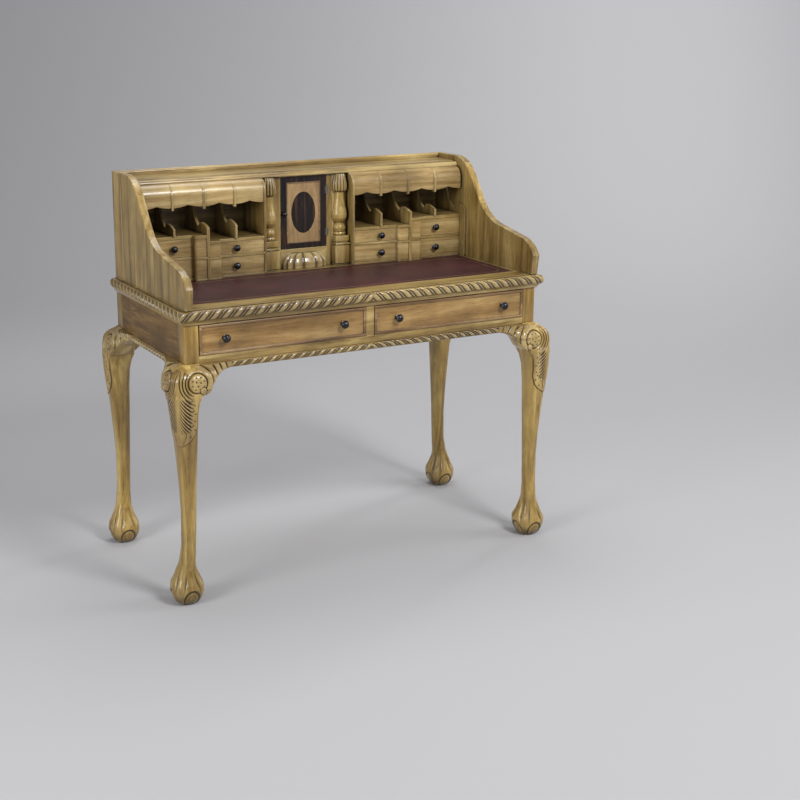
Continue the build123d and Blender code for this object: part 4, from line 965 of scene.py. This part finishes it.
def make_lines():
    """Gilt line on the leather, bead and stringing on the door."""
    inner = LINE_SIDE - LINE_CORNER
    line = [(-inner, LINE_FRONT), (inner, LINE_FRONT), (LINE_SIDE, LINE_FRONT + LINE_CORNER),
            (LINE_SIDE, LINE_BACK - LINE_CORNER), (inner, LINE_BACK), (-inner, LINE_BACK),
            (-LINE_SIDE, LINE_BACK - LINE_CORNER), (-LINE_SIDE, LINE_FRONT + LINE_CORNER)]
    level = Matrix.Translation((0, 0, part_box("leather_panel")[1].z - 0.00004))
    shown("gilt_line", outline_ring("gilt", line, level, 1.7, 0.16), gilt, smooth=False)
    face = axes((1, 0, 0), (0, 0, 1), (0, -1, 0), (0, DOOR_FACE + 2.05, 0))
    left, right = DOOR_FIELD
    field = [(left, DOOR_FIELD_LOW), (right, DOOR_FIELD_LOW), (right, DOOR_FIELD_HIGH),
             (left, DOOR_FIELD_HIGH)]
    shown("door_bead", outline_ring("bead", field, face, 3.2, 1.6), bead_wood, "cupboard_door",
          False)
    oval = []
    for step in range(OVAL_STEPS):
        angle = 2 * math.pi * step / OVAL_STEPS
        oval.append((OVAL_RADII[0] * math.cos(angle), OVAL_MIDDLE + OVAL_RADII[1] * math.sin(angle)))
    shown("oval_stringing", outline_ring("stringing", oval, face, 1.0, 0.12), front_wood, "cupboard_door",
          False)


# ---------------------------------------------------------------- floor and light
BACKDROP_NEAR = -9
BACKDROP_RUN = 22
BACKDROP_WIDE = 30
BACKDROP_Y = 3.2
BACKDROP_ROUND = 3.0
FLOOR_TONE = (0.47, 0.468, 0.48, 1)
SKY_TONE = (0.80, 0.81, 0.84, 1)
SKY_STRENGTH = 0.40
# name, place, what it is aimed at, width and power
LAMPS = (
    ("key", (0.7, -3.0, 3.1), (0.0, 0.0, 0.75), 1.1, 92),
    ("right", (3.4, -1.4, 2.0), (0.0, 0.0, 0.8), 1.8, 40),
    ("left", (-3.2, -1.2, 1.7), (-0.4, 0.0, 0.6), 1.4, 48),
    ("overhead", (0.2, 0.9, 3.4), (0.0, 0.0, 0.8), 1.8, 28),
    ("backdrop", (4.0, 1.5, 3.0), (1.8, 5.6, 1.6), 2.5, 90),
)


def sweep_backdrop():
    """Floor that curves up into a wall well behind the desk."""
    net = bmesh.new()
    bmesh.ops.create_grid(net, x_segments=4, y_segments=60, size=0.5)
    for vert in net.verts:
        run = (vert.co.y + 0.5) * BACKDROP_RUN + BACKDROP_NEAR
        turn = min(max((run - BACKDROP_Y) / BACKDROP_ROUND, 0), math.pi / 2)
        wall = max(run - BACKDROP_Y - BACKDROP_ROUND * math.pi / 2, 0)
        y = min(run, BACKDROP_Y) + BACKDROP_ROUND * math.sin(turn)
        z = BACKDROP_ROUND * (1 - math.cos(turn)) + wall
        vert.co = Vector((vert.co.x * BACKDROP_WIDE, y, z))
    mesh = bpy.data.meshes.new("floor")
    net.to_mesh(mesh)
    net.free()
    mesh.shade_smooth()
    return mesh


def make_stage():
    """A pale seamless floor and soft light from above and both sides."""
    mesh = sweep_backdrop()
    material, tree, shader = new_material("pale_floor")
    shader.inputs["Base Color"].default_value = FLOOR_TONE
    shader.inputs["Roughness"].default_value = 0.9
    mesh.materials.append(material)
    floor = bpy.data.objects.new("floor", mesh)
    bpy.context.scene.collection.objects.link(floor)
    floor.matrix_world = Matrix.Rotation(CAMERA_YAW, 4, "Z")
    world = bpy.data.worlds.new("studio")
    world.use_nodes = True
    sky = world.node_tree.nodes["Background"]
    sky.inputs["Color"].default_value = SKY_TONE
    sky.inputs["Strength"].default_value = SKY_STRENGTH
    bpy.context.scene.world = world
    for name, place, aim, size, power in LAMPS:
        lamp = bpy.data.lights.new(name, "AREA")
        lamp.shape = "DISK"
        lamp.size = size
        lamp.energy = power
        holder = bpy.data.objects.new(name, lamp)
        turn = (Vector(aim) - Vector(place)).to_track_quat("-Z", "Y").to_matrix().to_4x4()
        holder.matrix_world = Matrix.Translation(place) @ turn
        bpy.context.scene.collection.objects.link(holder)


place_camera()
make_stage()
finish_nodes()
make_legs()
make_brackets()
make_mouldings()
make_shell()
make_pilasters()
make_lines()
bpy.context.scene.view_settings.view_transform = "Standard"
